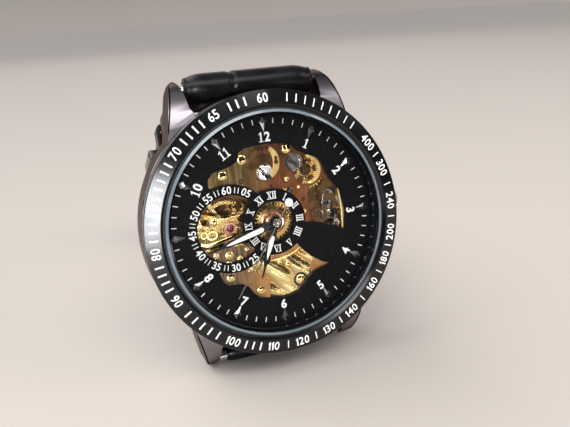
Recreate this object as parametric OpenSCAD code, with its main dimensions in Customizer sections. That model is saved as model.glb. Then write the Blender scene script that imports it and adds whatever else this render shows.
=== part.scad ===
// Skeleton wristwatch standing on its buckled strap, in millimetres.
// The watch is drawn in the frame of its dial: X to 3 o'clock, Y to 12 o'clock, Z out of the dial.
// place() then stands it up, leaning back, with the strap flat on the table at Z = 0.

/* [Stand] */
// angle that the dial leans back from upright
lean = 9; // [0:0.5:20]
// distance of the dial centre in front of the middle of the resting face
stand_back = 24; // [10:1:40]

/* [Case] */
// radius of the round case flank
case_r = 20.9; // [18:0.1:24]
// wall of the case between its flank and its bore
case_wall = 3.4; // [2.5:0.1:5]
// height of the case flank top, below the dial
case_top = -0.6; // [-1:0.05:-0.3]
// height of the case bottom
case_bot = -6.6; // [-8:0.1:-5.5]
// step from the flank in to the rim that carries the bezel
rim_step = 1.3; // [0.8:0.1:2]
// height of that rim, leaving the dark seam
rim_top = -0.1; // [-0.5:0.05:0.3]
// inner gap between the lugs, the strap width
lug_gap = 22; // [18:0.5:24]
// length of a lug past its spring bar
lug_over = 1.5; // [1.2:0.1:2.5]
// width of a lug where it leaves the case
lug_w = 3.1; // [2.6:0.1:3.5]
// distance of the spring bars from the case flank
bar_gap = 1.4; // [1.2:0.1:2.5]
// height of the spring bars
bar_z = -5.5; // [-7:0.1:-4]

/* [Bezel and crystal] */
// how far the black insert stands over the case flank
bezel_over = 0.1; // [0:0.05:1]
// height of the outer edge of the insert
bezel_z = 2.65; // [2:0.05:3.5]
// slope of the insert
bezel_slope = 11; // [0:1:25]
// thickness of the insert
insert_t = 0.65; // [0.4:0.05:1]
// width of the insert's number band
insert_w = 2.35; // [1.8:0.05:3]
// width of the lip between number band and gasket
lip_w = 0.42; // [0.2:0.02:0.8]
// height of the crystal seat
crystal_z = 2.05; // [1.8:0.05:2.6]
// thickness of the crystal
crystal_t = 1.25; // [0.8:0.05:2]
// width of the ground edge of the crystal
crystal_edge = 0.85; // [0.3:0.05:1.5]
// width of the crystal gasket
gasket_w = 0.33; // [0.2:0.01:0.5]

/* [Dial] */
// play of the dial in the case bore
dial_fit = 0.2; // [0.1:0.05:0.4]
// thickness of the dial
dial_t = 0.4; // [0.2:0.05:0.8]
// width of the flange around the dial
flange_w = 0.5; // [0.3:0.05:1]
// centre of the seconds ring
ring_x = -7.2; // [-9:0.1:-5]
// window inside the seconds ring
ring_in = 5.4; // [4:0.1:6]
// outer radius of the seconds ring
ring_out = 7.05; // [5:0.05:8]
// hole of the Roman hour ring
roman_in = 3.4; // [3:0.05:4]
// outer radius of the Roman hour ring
roman_out = 5.35; // [4.5:0.05:6]
// thickness of the Roman hour ring
roman_t = 0.12; // [0.05:0.01:0.3]
// length of an hour mark
mark_len = 2.15; // [1.5:0.05:3]
// gap from the hour marks to the flange
mark_gap = 0.25; // [0.1:0.05:0.6]
// height of the applied hour marks
mark_h = 0.45; // [0.2:0.05:0.8]

/* [Hands] */
// hour shown by the hands, with its fraction
shown_h = 6.71; // [0:0.01:12]
// minute shown, with its fraction
shown_m = 42.6; // [0:0.1:60]
// second shown
shown_s = 36; // [0:1:60]
// length of the hour hand
hour_len = 9.25; // [7:0.05:11]
// length of the minute hand
minute_len = 12.2; // [10:0.1:15]
// length of the seconds hand
second_len = 13.45; // [11:0.05:16]
// tail of the seconds hand to its disc
second_tail = 3.75; // [2:0.05:5]
// thickness of the hands
hand_t = 0.2; // [0.1:0.02:0.3]
// height of the hour hand
hour_z = 0.65; // [0.5:0.05:0.8]
// height of the minute hand
minute_z = 1.15; // [1:0.05:1.3]
// height of the seconds hand
second_z = 1.65; // [1.5:0.05:1.75]

/* [Movement plates] */
// radius of the movement
move_r = 13.2; // [12.9:0.05:14]
// underside of the main plate
plate_bot = -6.4; // [-7:0.05:-6]
// inner face of the main plate
plate_top = -5.2; // [-5.4:0.05:-5.1]
// back of the front bridge
bridge_bot = -2.4; // [-2.5:0.05:-2.3]
// front of the front bridge
bridge_top = -0.95; // [-1:0.05:-0.9]
// front of the cover plates
cover_top = -0.6; // [-0.65:0.05:-0.55]
// floor of the winding recess
wind_floor = -1.5; // [-1.6:0.05:-1.48]
// thickness of the rim wall of the main plate
wall_t = 0.6; // [0.4:0.05:0.9]

/* [Going train] */
// barrel position, sideways
barrel_x = -0.4; // [-1:0.1:1]
// barrel position, towards 12 o'clock
barrel_y = 8.1; // [7.8:0.05:8.3]
// teeth of the barrel
barrel_n = 88; // [60:2:100]
// teeth of the second pinion
second_p = 12; // [8:1:14]
// module of barrel and second pinion
barrel_m = 0.1; // [0.08:0.005:0.11]
// direction from barrel to second wheel
second_dir = -50; // [-60:1:-45]
// teeth of the second wheel
second_n = 80; // [60:5:90]
// teeth of the third and fourth pinions
train_p = 10; // [8:1:12]
// teeth of the third wheel
third_n = 75; // [60:5:80]
// module of second and third wheels
train_m = 0.08; // [0.07:0.005:0.085]
// teeth of the fourth wheel
fourth_n = 80; // [60:5:84]
// teeth of the escape pinion
escape_p = 8; // [6:1:10]
// module of fourth wheel and escape pinion
fourth_m = 0.075; // [0.06:0.005:0.078]
// direction from centre to escape wheel
escape_dir = 225; // [215:1:235]
// teeth of the escape wheel
escape_n = 15; // [12:1:18]
// radius of the escape wheel
escape_r = 1.9; // [1.5:0.05:2]
// outer radius of the balance rim
balance_r = 4.3; // [3.6:0.05:4.5]
// radius of the impulse pin circle
impulse_r = 0.45; // [0.35:0.05:0.55]

/* [Springs] */
// turns of the hairspring
hair_turns = 4.2; // [3:0.1:4.3]
// strip width of the hairspring
hair_w = 0.08; // [0.05:0.01:0.1]
// inner radius of the hairspring
hair_in = 0.5; // [0.45:0.05:0.7]
// outer radius of the hairspring
hair_out = 2.7; // [2.5:0.05:3]
// turns of the mainspring
main_turns = 4.5; // [3:0.1:4.6]
// strip thickness of the mainspring
main_w = 0.1; // [0.06:0.01:0.12]

/* [Motion works and winding] */
// module of the motion works
motion_m = 0.15; // [0.13:0.005:0.155]
// teeth of cannon and driving pinions
cannon_n = 10; // [8:1:12]
// teeth of the minute wheel
minute_n = 30; // [24:1:36]
// teeth of the minute pinion
minute_p = 8; // [6:1:10]
// teeth of the hour wheel
hour_n = 32; // [24:1:40]
// module of the winding wheels
wind_m = 0.2; // [0.18:0.005:0.205]
// teeth of the ratchet wheel
ratchet_n = 36; // [30:1:38]
// teeth of the intermediate winding wheel
inter_n = 34; // [28:1:36]
// teeth of the crown wheel
crownw_n = 23; // [20:1:24]
// teeth of the idler between crown wheel and intermediate wheel
idler_n = 10; // [8:1:12]
// direction from barrel to intermediate wheel
inter_dir = -4; // [-8:0.5:0]
// teeth of the winding pinion
winding_n = 18; // [12:1:24]

/* [Stem and crown] */
// height of the stem axis
stem_z = -3.3; // [-3.5:0.05:-3.2]
// radius of the stem
stem_r = 0.55; // [0.4:0.05:0.6]
// radius of the crown
crown_r = 2.6; // [2:0.1:3]
// length of the crown
crown_len = 2.2; // [2:0.1:3]
// ribs of the crown
crown_ribs = 28; // [16:1:40]
// travel of the crown to set the hands
crown_pull = 1; // [0.6:0.1:1.1]

/* [Strap and buckle] */
// half thickness of the short strap's padded end
pad_r = 2.4; // [1.8:0.1:2.4]
// half thickness of the long strap's end around its bar
end_r = 1.35; // [1.25:0.05:1.6]
// height of the lower bar above the table
bar_h = 1.65; // [1.65:0.05:2.4]
// distance from the lower bar to where the long strap lies on the table
land_len = 9; // [6:0.5:14]
// thickness of the long strap past the padding
long_t = 2.5; // [1.8:0.1:2.6]
// thickness of the short strap past the padding
short_t = 2.6; // [2:0.1:2.8]
// half width of the strap past its taper
strap_half = 9; // [8:0.25:10.5]
// distance behind the dial where the rear turn starts
turn_y = 52; // [45:1:60]
// outer radius of the rear turn
turn_r = 13.9; // [12:0.1:16]
// height of the strap tail above the short strap's inner face
tail_lift = 2.95; // [2.9:0.05:3.4]
// length of the strap tail past the buckle
tail_len = 34; // [30:1:35]
// radius of the buckle bar
pin_r = 0.7; // [0.5:0.05:0.8]
// radius of the buckle rod
rod_r = 1.1; // [0.8:0.05:1.2]
// length of the buckle frame
buckle_len = 13.6; // [13:0.1:14.2]
// wall of the keepers
keeper_t = 0.9; // [0.6:0.05:1.2]
// length of a keeper along the strap
keeper_len = 4.6; // [3:0.1:6]

/* [Fits] */
// running clearance of pivots and bores
run = 0.03; // [0.02:0.005:0.05]
// side clearance of soft pieces
slack = 0.15; // [0.1:0.01:0.2]

/* [Hidden] */
$fn = 72;
cut = 20;
e = 0.01;

// stand
case_bore = case_r - case_wall;
rim_r = case_r - rim_step;
bar_y = case_r + bar_gap;
lug_tip = bar_y + lug_over;
dial_h = bar_h + bar_y * cos(lean) - bar_z * sin(lean);
low_y = -bar_y * sin(lean) - bar_z * cos(lean) - stand_back;
up_y = bar_y * sin(lean) - bar_z * cos(lean) - stand_back;
up_z = dial_h + bar_y * cos(lean) + bar_z * sin(lean);

// closing line of the strap, from the end of the rear turn to the upper bar
turn_c = [turn_y - stand_back, turn_r];
up_d = [up_y - turn_c[0], up_z - turn_c[1]];
mid_r = turn_r - long_t + short_t / 2;
beta = 90 - atan2(up_d[1], up_d[0]) + acos(mid_r / norm(up_d));
s_up = sqrt(up_d * up_d - mid_r * mid_r);
knee = turn_c + (turn_r - long_t) * [sin(beta), cos(beta)];
pin_s = 1;
frame_tilt = 5.5;
function on_line(s, n) = knee + s * [-cos(beta), sin(beta)] + n * [sin(beta), cos(beta)];

// bezel and crystal heights
bezel_r = case_r + bezel_over;
band_r = bezel_r - insert_w;
gasket_r = band_r - lip_w;
crystal_r = gasket_r - gasket_w;
band_z = bezel_z + insert_w * tan(bezel_slope);
crystal_top = crystal_z + crystal_t;

// dial and case back radii
dial_r = case_bore - dial_fit;
flange_r = case_bore - flange_w;
mark_out = flange_r - mark_gap;
mark_in = mark_out - mark_len;
back_r = case_r - 1.1;
back_screw_r = case_r - 2.2;
glass_r = case_bore - 2.7;

// crown, end of the stem and pipes of the hands
crown_x = case_r + 0.3;
crown_edge = 0.5;
stem_end = crown_x + crown_len - 0.7;
cannon_r = 0.62;
hour_pipe_r = 0.8;

// going train positions
barrel_p = [barrel_x, barrel_y];
barrel_pr = barrel_n * barrel_m / 2;
second_d = (barrel_n + second_p) * barrel_m / 2;
second_c = barrel_p + second_d * [cos(second_dir), sin(second_dir)];
third_d = (second_n + train_p) * train_m / 2;
third_a = (third_n + train_p) * train_m / 2;
second_a = atan2(second_c[1], second_c[0]);
third_cos = (third_a * third_a + second_c * second_c - third_d * third_d) / (2 * third_a * norm(second_c));
third_dir = second_a - acos(third_cos);
third_c = third_a * [cos(third_dir), sin(third_dir)];
escape_d = (fourth_n + escape_p) * fourth_m / 2;
escape_c = escape_d * [cos(escape_dir), sin(escape_dir)];
balance_c = [ring_x, 0];
lever_v = balance_c - escape_c;
lever_dir = atan2(lever_v[1], lever_v[0]);
pallet_d = escape_r + 0.45;
pallet_c = escape_c + pallet_d * [cos(lever_dir), sin(lever_dir)];
fork_len = norm(balance_c - pallet_c);

// motion works: the minute wheel meshes with the driving pinion and the cannon pinion
minute_d = (cannon_n + minute_n) * motion_m / 2;
minute_off = sqrt(minute_d * minute_d - second_c * second_c / 4);
second_u = second_c / norm(second_c);
minute_c = second_c / 2 + minute_off * [second_u[1], -second_u[0]];
minute_dir = atan2(minute_c[1], minute_c[0]);

// winding wheels
ratchet_pr = ratchet_n * wind_m / 2;
inter_pr = inter_n * wind_m / 2;
crownw_pr = crownw_n * wind_m / 2;
inter_c = barrel_p + (ratchet_pr + inter_pr) * [cos(inter_dir), sin(inter_dir)];
idler_pr = idler_n * wind_m / 2;
crownw_dir = -asin(inter_c[1] / (inter_pr + 2 * idler_pr + crownw_pr));
idler_c = inter_c + (inter_pr + idler_pr) * [cos(crownw_dir), sin(crownw_dir)];
crownw_c = idler_c + (idler_pr + crownw_pr) * [cos(crownw_dir), sin(crownw_dir)];
wheel_z = wind_floor + 0.05;
wheel_t = 0.4;
winding_r = wheel_z - stem_z - 0.03;
winding_x = crownw_c[0] + crownw_pr - 0.4;
slide_x = winding_x - 1.2;
lever_c = [winding_x + 1.6, -2.3];
lever_len = 2.1;
yoke_x = slide_x + 0.55;
yoke_y = -3;
yoke_len = 2.05;

// springs
hair_pitch = (hair_out - hair_in) / hair_turns;
stud_p = balance_c + (hair_out + 0.3) * [cos(360 * hair_turns), sin(360 * hair_turns)];
main_in = 1.1;
main_out = barrel_pr - 0.85;
main_pitch = (main_out - main_in) / main_turns;
echo(hairspring_gap = hair_pitch - hair_w);
echo(mainspring_gap = main_pitch - main_w);

// tooth phases, each wheel set from the one before
function mesh(dir, a0, na, nb) = dir + 180 + 180 / nb - (a0 - dir) * na / nb;
second_ph = mesh(second_dir, 0, barrel_n, second_p);
third_link = atan2(third_c[1] - second_c[1], third_c[0] - second_c[0]);
third_ph = mesh(third_link, 0, second_n, train_p);
fourth_ph = mesh(third_dir + 180, 0, third_n, train_p);
escape_ph = mesh(escape_dir, 0, fourth_n, escape_p);
drive_link = atan2(minute_c[1] - second_c[1], minute_c[0] - second_c[0]);
minute_ph = mesh(drive_link, 0, cannon_n, minute_n);
cannon_ph = mesh(minute_dir + 180, minute_ph, minute_n, cannon_n);
hour_ph = mesh(minute_dir + 180, 0, minute_p, hour_n);
inter_ph = mesh(inter_dir, 0, ratchet_n, inter_n);
idler_ph = mesh(crownw_dir, inter_ph, inter_n, idler_n);
crownw_ph = mesh(crownw_dir, idler_ph, idler_n, crownw_n);

// hour, minute and second hand angles, measured from X
hour_a = 90 - shown_h * 30;
minute_a = 90 - shown_m * 6;
second_hand_a = 90 - shown_s * 6;

// shared shapes

// stands the dial frame up
module place() {
  translate([0, -stand_back, dial_h]) rotate([90 - lean, 0, 0]) children();
}

// moves to a point of the dial at a height
module at(p, z = 0) {
  translate([p[0], p[1], z]) children();
}

// a disc or tube between two heights
module disc(r, z0, z1) {
  translate([0, 0, z0]) cylinder(r = r, h = z1 - z0);
}

// a rod along X at the height of the stem
module stem_rod(r, x0, x1) {
  translate([x0, 0, stem_z]) rotate([0, 90, 0]) cylinder(r = r, h = x1 - x0);
}

// a flat shape between two heights
module slab(z0, z1) {
  translate([0, 0, z0]) linear_extrude(z1 - z0) children();
}

// outline of a toothed wheel, one tooth centred on the phase
module teeth(n, m, phase = 0) {
  pr = n * m / 2;
  tip = pr + 0.85 * m;
  root = pr - 1.1 * m;
  p = 360 / n;
  polygon([for (i = [0 : n - 1]) each [
    for (q = [[root, -0.29], [pr, -0.21], [tip, -0.1], [tip, 0.1], [pr, 0.21], [root, 0.29]])
      q[0] * [cos(phase + (i + q[1]) * p), sin(phase + (i + q[1]) * p)]]]);
}

// a ring of round holes
module ring_holes(count, at_r, r) {
  for (i = [0 : count - 1]) rotate(i * 360 / count) translate([at_r, 0]) circle(r);
}

// outline of a flat spiral strip
module spiral(r0, r1, turns, w) {
  n = ceil(turns * 22);
  a = turns * 360 / n;
  d = (r1 - r0) / n;
  polygon(concat(
    [for (i = [0 : n]) (r0 + d * i + w / 2) * [cos(a * i), sin(a * i)]],
    [for (i = [n : -1 : 0]) (r0 + d * i - w / 2) * [cos(a * i), sin(a * i)]]));
}

// a slotted screw with its head on top of a face
module screw(head_r, head_h, shank_r, depth, slot) {
  difference() {
    union() {
      cylinder(r = head_r, h = head_h);
      translate([0, 0, -depth]) cylinder(r = shank_r, h = depth + e);
    }
    translate([-head_r - 1, -slot / 2, head_h * 0.45]) cube([2 * head_r + 2, slot, head_h]);
  }
}

// a bar between two points in plan, with round ends
module link(a, b, w) {
  d = b - a;
  g = atan2(d[1], d[0]);
  polygon([
    for (i = [0 : 10]) a + w / 2 * [cos(g + 90 + 18 * i), sin(g + 90 + 18 * i)],
    for (i = [0 : 10]) b + w / 2 * [cos(g - 90 + 18 * i), sin(g - 90 + 18 * i)]]);
}

// a side outline in the upright plane, stretched across the strap
module across(half) {
  translate([-half, 0, 0]) rotate([90, 0, 90]) linear_extrude(2 * half) children();
}

// a rod across the strap at a point of the upright plane
module cross_rod(p, r, half) {
  translate([-half, p[0], p[1]]) rotate([0, 90, 0]) cylinder(r = r, h = 2 * half);
}

// turns the frame so X runs up the closing line and Z points outwards
module closing(s, n) {
  p = on_line(s, n);
  translate([0, p[0], p[1]]) rotate([-beta, 0, 0]) rotate([0, 0, -90]) children();
}

// case

// plan of the right upper lug
module lug_plan() {
  g = lug_gap / 2;
  o = g + lug_w;
  t = lug_tip;
  polygon([
    [g, t - 10.8], [g, t - 6.6], [g - 1.5, t - 5.25], [g - 0.6, t - 5.2], [g - 0.1, t - 4.5], [g, t - 3.6],
    [g + 0.05 * lug_w, t - 2], [g + 0.14 * lug_w, t - 0.75],
    [g + 0.26 * lug_w, t - 0.12], [g + 0.36 * lug_w, t],
    [g + 0.47 * lug_w, t - 0.12], [g + 0.63 * lug_w, t - 0.65], [g + 0.82 * lug_w, t - 1.95],
    [o, t - 4.4], [o + 0.55, t - 7], [o + 1.1, t - 10.8]]);
}

// side of an upper lug, Y across and Z up
module lug_side() {
  t = lug_tip;
  polygon([
    [t - 11.8, case_top], [t - 7.3, case_top], [t - 5, case_top - 0.45], [t - 3, case_top - 1.6],
    [t - 1.4, case_top - 3.2], [t - 0.4, case_top - 4.9], [t, case_top - 6.1],
    [t - 0.3, case_bot - 1], [t - 1.4, case_bot - 1.3], [t - 3.8, case_bot - 0.9],
    [t - 7.3, case_bot], [t - 11.8, case_bot]]);
}

module case_body() {
  color([0.45, 0.4, 0.38]) place() difference() {
    union() {
      rotate_extrude() polygon([
        [case_bore, case_bot], [case_r - 0.5, case_bot], [case_r, case_bot + 0.5],
        [case_r, case_top - 0.25], [case_r - 0.25, case_top], [rim_r, case_top],
        [rim_r, rim_top], [case_bore, rim_top]]);
      for (sx = [0, 1]) for (sy = [0, 1]) mirror([sx, 0, 0]) mirror([0, sy, 0]) intersection() {
        slab(case_bot - cut, case_top) lug_plan();
        rotate([90, 0, 90]) linear_extrude(cut) lug_side();
      }
    }
    disc(case_bore, case_bot - 1, 1);
    for (y = [-bar_y, bar_y]) translate([-lug_gap / 2 - 1.3, y, bar_z]) rotate([0, 90, 0])
      cylinder(r = 0.55, h = lug_gap + 2.6);
    stem_rod(1.3, case_bore - 1, case_r + 2);
    for (i = [0 : 5]) rotate(i * 60 + 30)
      translate([back_screw_r, 0, case_bot - 1]) cylinder(r = 0.4, h = 3.2);
  }
}

module case_tube() {
  color([0.6, 0.58, 0.55]) place() difference() {
    stem_rod(1.3, case_bore, case_r + 0.9);
    stem_rod(stem_r + 0.05, case_bore - 1, case_r + 2);
  }
}

module bezel_ring() {
  seat = insert_t / cos(bezel_slope);
  color([0.6, 0.57, 0.55]) place() rotate_extrude() polygon([
    [case_bore + 0.05, rim_top], [case_r - 0.3, rim_top], [case_r - 0.05, rim_top + 0.25],
    [case_r - 0.05, bezel_z - seat], [band_r, band_z - seat], [gasket_r, band_z - seat],
    [gasket_r, crystal_z], [case_bore + 0.05, crystal_z]]);
}

module bezel_insert() {
  seat = insert_t / cos(bezel_slope);
  color([0.08, 0.08, 0.09]) place() rotate_extrude() polygon([
    [gasket_r, band_z - seat], [band_r, band_z - seat], [case_r - 0.05, bezel_z - seat],
    [bezel_r, bezel_z - seat], [bezel_r, bezel_z - 0.1], [bezel_r - 0.1, bezel_z],
    [band_r, band_z], [gasket_r, band_z - 0.4]]);
}

module crystal() {
  color([0.8, 0.85, 0.9, 0.3]) place() rotate_extrude() polygon([
    [0, crystal_z], [crystal_r, crystal_z], [crystal_r, crystal_top - crystal_edge / 2],
    [crystal_r - crystal_edge, crystal_top], [0, crystal_top]]);
}

module crystal_gasket() {
  color([0.05, 0.05, 0.05]) place() rotate_extrude() polygon([
    [crystal_r, crystal_z], [gasket_r, crystal_z], [gasket_r, band_z - 0.5], [crystal_r, band_z - 0.5]]);
}

module dial_flange() {
  color([0.1, 0.1, 0.11]) place() rotate_extrude() polygon([
    [flange_r + 0.12, 0], [case_bore, 0], [case_bore, crystal_z], [flange_r, crystal_z]]);
}

// dial

// upper and right opening, around the rings
module open_top() {
  difference() {
    polygon([
      [-10, 7], [-9.9, 8.2], [-9, 9.2], [-7.5, 9.5], [-6.2, 9.8], [-5, 10.4], [-4.5, 11.8], [-3.5, 12.3],
      [0, 12.6], [3, 12.3], [4.3, 11.9], [5.2, 10.9], [7, 10], [8.7, 9.2], [9.6, 8], [9.9, 6.5], [11, 5],
      [12, 3.5], [12.6, 0], [12.2, -3.2], [11.5, -2.9], [8, -1.5], [5.2, -0.9], [0, 0]]);
    translate([ring_x, 0]) circle(ring_out);
    circle(roman_out);
  }
}

// lower opening, around the rings
module open_low() {
  difference() {
    polygon([
      [-10, -6.6], [-9.5, -8.2], [-8.6, -9.1], [-6.5, -9.3], [-5.5, -9.8], [-4.6, -11.2], [-3.8, -12],
      [-2, -12.6], [0.5, -12.8], [3, -12.3], [4.3, -11.3], [5, -10.3], [6, -9.5], [9.2, -8.7], [7.5, -8],
      [6, -7], [4.6, -5.6], [3.4, -4], [0, 0]]);
    translate([ring_x, 0]) circle(ring_out);
    circle(roman_out);
  }
}

module dial() {
  color([0.07, 0.07, 0.08]) place() slab(-dial_t, 0) difference() {
    circle(dial_r);
    open_top();
    open_low();
    difference() {
      translate([ring_x, 0]) circle(ring_in);
      circle(roman_out);
    }
    circle(roman_in);
  }
}

module roman_ring() {
  color([0.06, 0.06, 0.07]) place() slab(0, roman_t) difference() {
    circle(roman_out);
    circle(roman_in);
  }
}

module hour_marks() {
  w = 0.5;
  wide = mark_out - 0.6;
  color([0.85, 0.85, 0.86]) place() for (i = [0 : 11]) rotate(i * 30) slab(0, mark_h)
    polygon([[mark_in, 0], [wide, -w], [mark_out, 0], [wide, w]]);
}

// case back and holder

module movement_holder() {
  color([0.12, 0.12, 0.13]) place() difference() {
    rotate_extrude() polygon([
      [move_r, case_bot], [case_bore, case_bot], [case_bore, -dial_t], [move_r, -dial_t]]);
    stem_rod(1.4, 10, case_r);
    at(inter_c) disc(inter_pr + wind_m + 0.2, wind_floor, bridge_top + e);
  }
}

module case_back() {
  color([0.55, 0.52, 0.5]) place() difference() {
    rotate_extrude() polygon([
      [glass_r - 1.2, case_bot - 1.4], [back_r - 1.8, case_bot - 1.4], [back_r, case_bot - 0.9],
      [back_r, case_bot], [glass_r, case_bot], [glass_r, case_bot - 1], [glass_r - 1.2, case_bot - 1]]);
    for (i = [0 : 5]) rotate(i * 60 + 30) translate([back_screw_r, 0, 0]) {
      disc(0.45, case_bot - 3, case_bot + 1);
      disc(0.8, case_bot - 3, case_bot - 0.7);
    }
  }
}

module back_glass() {
  color([0.8, 0.85, 0.9, 0.3]) place() disc(glass_r, case_bot - 1, case_bot - 0.3);
}

module back_screws() {
  color([0.7, 0.7, 0.7]) place() for (i = [0 : 5]) rotate(i * 60 + 30)
    translate([back_screw_r, 0, case_bot - 0.7]) mirror([0, 0, 1]) screw(0.75, 0.4, 0.4, 2.7, 0.22);
}

// movement plates

module main_plate() {
  pivots = [second_c, third_c, [0, 0], escape_c, pallet_c, balance_c];
  color([0.85, 0.65, 0.35]) place() difference() {
    union() {
      disc(move_r, plate_bot, plate_top);
      difference() {
        disc(move_r, plate_top - e, bridge_bot);
        disc(move_r - wall_t, plate_top - 1, bridge_bot + 1);
      }
      translate([slide_x - 1.3, -0.8, plate_top - e]) cube([0.4, 1.6, stem_z + 0.8 - plate_top]);
      translate([yoke_x, yoke_y, 0]) disc(0.25, plate_top - e, stem_z + 0.3);
      at([-3.6, -5.4]) disc(0.6, plate_top - e, -3.62);
      for (p = [[-10.6, -4.6], [8.6, -7.2], [-9.2, 6.4]]) at(p) disc(0.8, plate_top - e, bridge_bot);
    }
    for (p = pivots) at(p) disc(0.45, plate_bot - 1, plate_top + 1);
    at(barrel_p) disc(0.6 + run, plate_top - 0.7, plate_top + 1);
    stem_rod(0.4 + run, slide_x - 2, slide_x);
    stem_rod(stem_r + 0.1, slide_x + 2, move_r + 2);
    for (p = [[5.5, -8.6], [0.5, -9.6], [-5.2, -8.6]]) at(p) disc(1.6, plate_bot - 1, plate_top + 1);
    for (p = [[-7.2, 3], [-10.2, 0], [6.5, 7.5], [10.2, 3.4]]) at(p) disc(1.4, plate_bot - 1, plate_top + 1);
  }
}

module front_bridge() {
  color([0.82, 0.62, 0.32]) place() {
    difference() {
      disc(move_r, bridge_bot, bridge_top);
      at(balance_c) disc(5, bridge_bot - 1, bridge_top + 1);
      at(barrel_p) disc(ratchet_pr + wind_m + 0.2, wind_floor, 0);
      at(inter_c) disc(inter_pr + wind_m + 0.2, wind_floor, 0);
      at(crownw_c) disc(crownw_pr + wind_m + 0.2, wind_floor, 0);
      at(idler_c) disc(idler_pr + wind_m + 0.2, wind_floor, 0);
      at(minute_c) disc(minute_d - 0.45, wind_floor + 0.05, 0);
      at(second_c) disc(1.1, wind_floor + 0.05, 0);
      disc(1.1, wind_floor + 0.05, 0);
      at(barrel_p) disc(0.85, bridge_bot - 1, 0);
      at(second_c) disc(0.25 + run, bridge_bot - 1, 0);
      for (p = [third_c, escape_c]) at(p) disc(0.3, bridge_bot - 1, bridge_bot + 0.4);
      disc(0.2, bridge_bot - 1, 0);
      for (p = wheel_posts()) at(p) disc(0.4, wind_floor - 0.5, 0);
      slab(wind_floor - 0.1, 0) polygon([
        [winding_x - 0.1, 0.6], [winding_x - 0.1, -4], [11.6, -3.9], [12.4, -2.4], [12.4, 0.6]]);
      translate([winding_x - 0.15, -2, bridge_bot - 1]) cube([1.5, 4, 3]);
      translate([slide_x - 0.8, -1.25, bridge_bot - 1]) cube([2.1, 2.5, 1.3]);
      translate([lever_c[0] - 0.35, -0.8, bridge_bot - 1]) cube([1.75, 1, 3]);
      slab(wind_floor, 0) {
        link([-5.6, 7.2], [-3.4, 7.6], 1.9);
        link([-6.15, 6.4], [-6.15, 9.4], 0.9);
      }
      for (p = cover_screws()) at(p) disc(0.35, bridge_top - 0.6, 0);
    }
    difference() {
      disc(0.45, wind_floor - 0.1, 0.2);
      disc(0.2, bridge_bot - 1, 2);
    }
    at(minute_c) disc(0.2, wind_floor - 0.1, cover_top);
    at(lever_c) disc(0.25, wind_floor - 0.2, cover_top);
    at([-5.6, 7.2]) disc(0.3, wind_floor - 0.1, bridge_top);
  }
}

// places of the screws that hold the cover plates
function cover_screws() = [
  [-7.4, 8.5], [-4, 10.6], [3.6, 11.4], [-8.2, -7.9], [-3.4, -11], [3.6, -10.5], [-8.2, -5.9]];

// places of the screws that carry the winding wheels
function wheel_posts() = [inter_c, crownw_c, idler_c];

// part of a cover layer that is inside the movement
module cover_zone() {
  intersection() {
    circle(move_r - 0.25);
    children();
  }
}

module cover_plate() {
  color([0.55, 0.36, 0.25]) place() slab(bridge_top, cover_top) difference() {
    cover_zone() polygon([
      [-11.2, 4.4], [-1, 4.4], [0, -1.5], [6.5, -1.5], [6.5, 4.4], [9.2, 5.8], [14, 6], [14, 14], [-14, 14],
      [-14, 4.4]]);
    translate(balance_c) circle(6.2);
    circle(minute_d + 0.9);
    translate(second_c) circle(1);
    difference() {
      translate([-0.6, 9.6]) circle(2.9);
      translate([-3.6, 7.6]) circle(1.5);
    }
    translate([4.5, 9.1]) circle(1.1);
    translate(inter_c + [0.3, -0.1]) circle(2.4);
    translate([5.6, 2.8]) circle(0.45);
    for (p = cover_screws()) translate(p) circle(0.37);
  }
}

module lower_bridge() {
  color([0.9, 0.7, 0.4]) place() slab(bridge_top, cover_top) difference() {
    cover_zone() polygon([
      [-14, -2.7], [-3, -2.7], [3, -4.2], [6.9, -4.4], [10, -5.6], [10, -14], [-14, -14]]);
    circle(minute_d + 0.9);
    for (p = cover_screws()) translate(p) circle(0.37);
  }
}

module balance_bridge() {
  color([0.9, 0.72, 0.42]) place() difference() {
    union() {
      slab(bridge_top, cover_top) {
        translate(balance_c) circle(1.9);
        polygon([
          [-12.7, -2], [-11, -2.45], [-7.2, -1.75], [-5.8, -1], [-6, 1.1], [-7.4, 1.7], [-9.4, 2.4],
          [-12.4, 3.2]]);
        link([-6.6, 1.4], [-3.1, 4], 0.6);
        link([-8.4, 1.4], [-10.4, 4.6], 0.6);
        link(balance_c, stud_p, 0.7);
      }
      at(balance_c) disc(1.2, bridge_top - 0.6, bridge_top + e);
      at(stud_p) disc(0.22, -2.35, bridge_top + e);
    }
    at(balance_c) disc(0.55, bridge_top - 1, cover_top + 1);
    at([-11.2, 1.6]) disc(0.5, bridge_top - 1, cover_top + 1);
  }
}

module pallet_bridge() {
  color([0.85, 0.65, 0.35]) place() slab(-3.62, -3.42) difference() {
    union() {
      link(pallet_c, [-3.6, -5.4], 0.8);
      translate([-3.6, -5.4]) circle(0.7);
    }
    translate(pallet_c) circle(0.12);
  }
}

module jewels() {
  color([0.8, 0.1, 0.25]) place() {
    for (p = [second_c, third_c, escape_c, pallet_c, balance_c]) at(p) difference() {
      disc(0.45, plate_top - 0.6, plate_top);
      disc(0.1 + run, plate_top - 1, plate_top + 1);
    }
    difference() {
      disc(0.45, plate_top - 0.6, plate_top);
      disc(0.15 + run, plate_top - 1, plate_top + 1);
    }
    for (p = [third_c, escape_c]) at(p) difference() {
      disc(0.3, bridge_bot, bridge_bot + 0.4);
      disc(0.1 + run, bridge_bot - 1, bridge_bot + 1);
    }
    at(balance_c) difference() {
      disc(0.55, bridge_top - 0.6, cover_top - 0.05);
      disc(0.1 + run, bridge_top - 1, bridge_top - 0.2);
    }
  }
}

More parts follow.
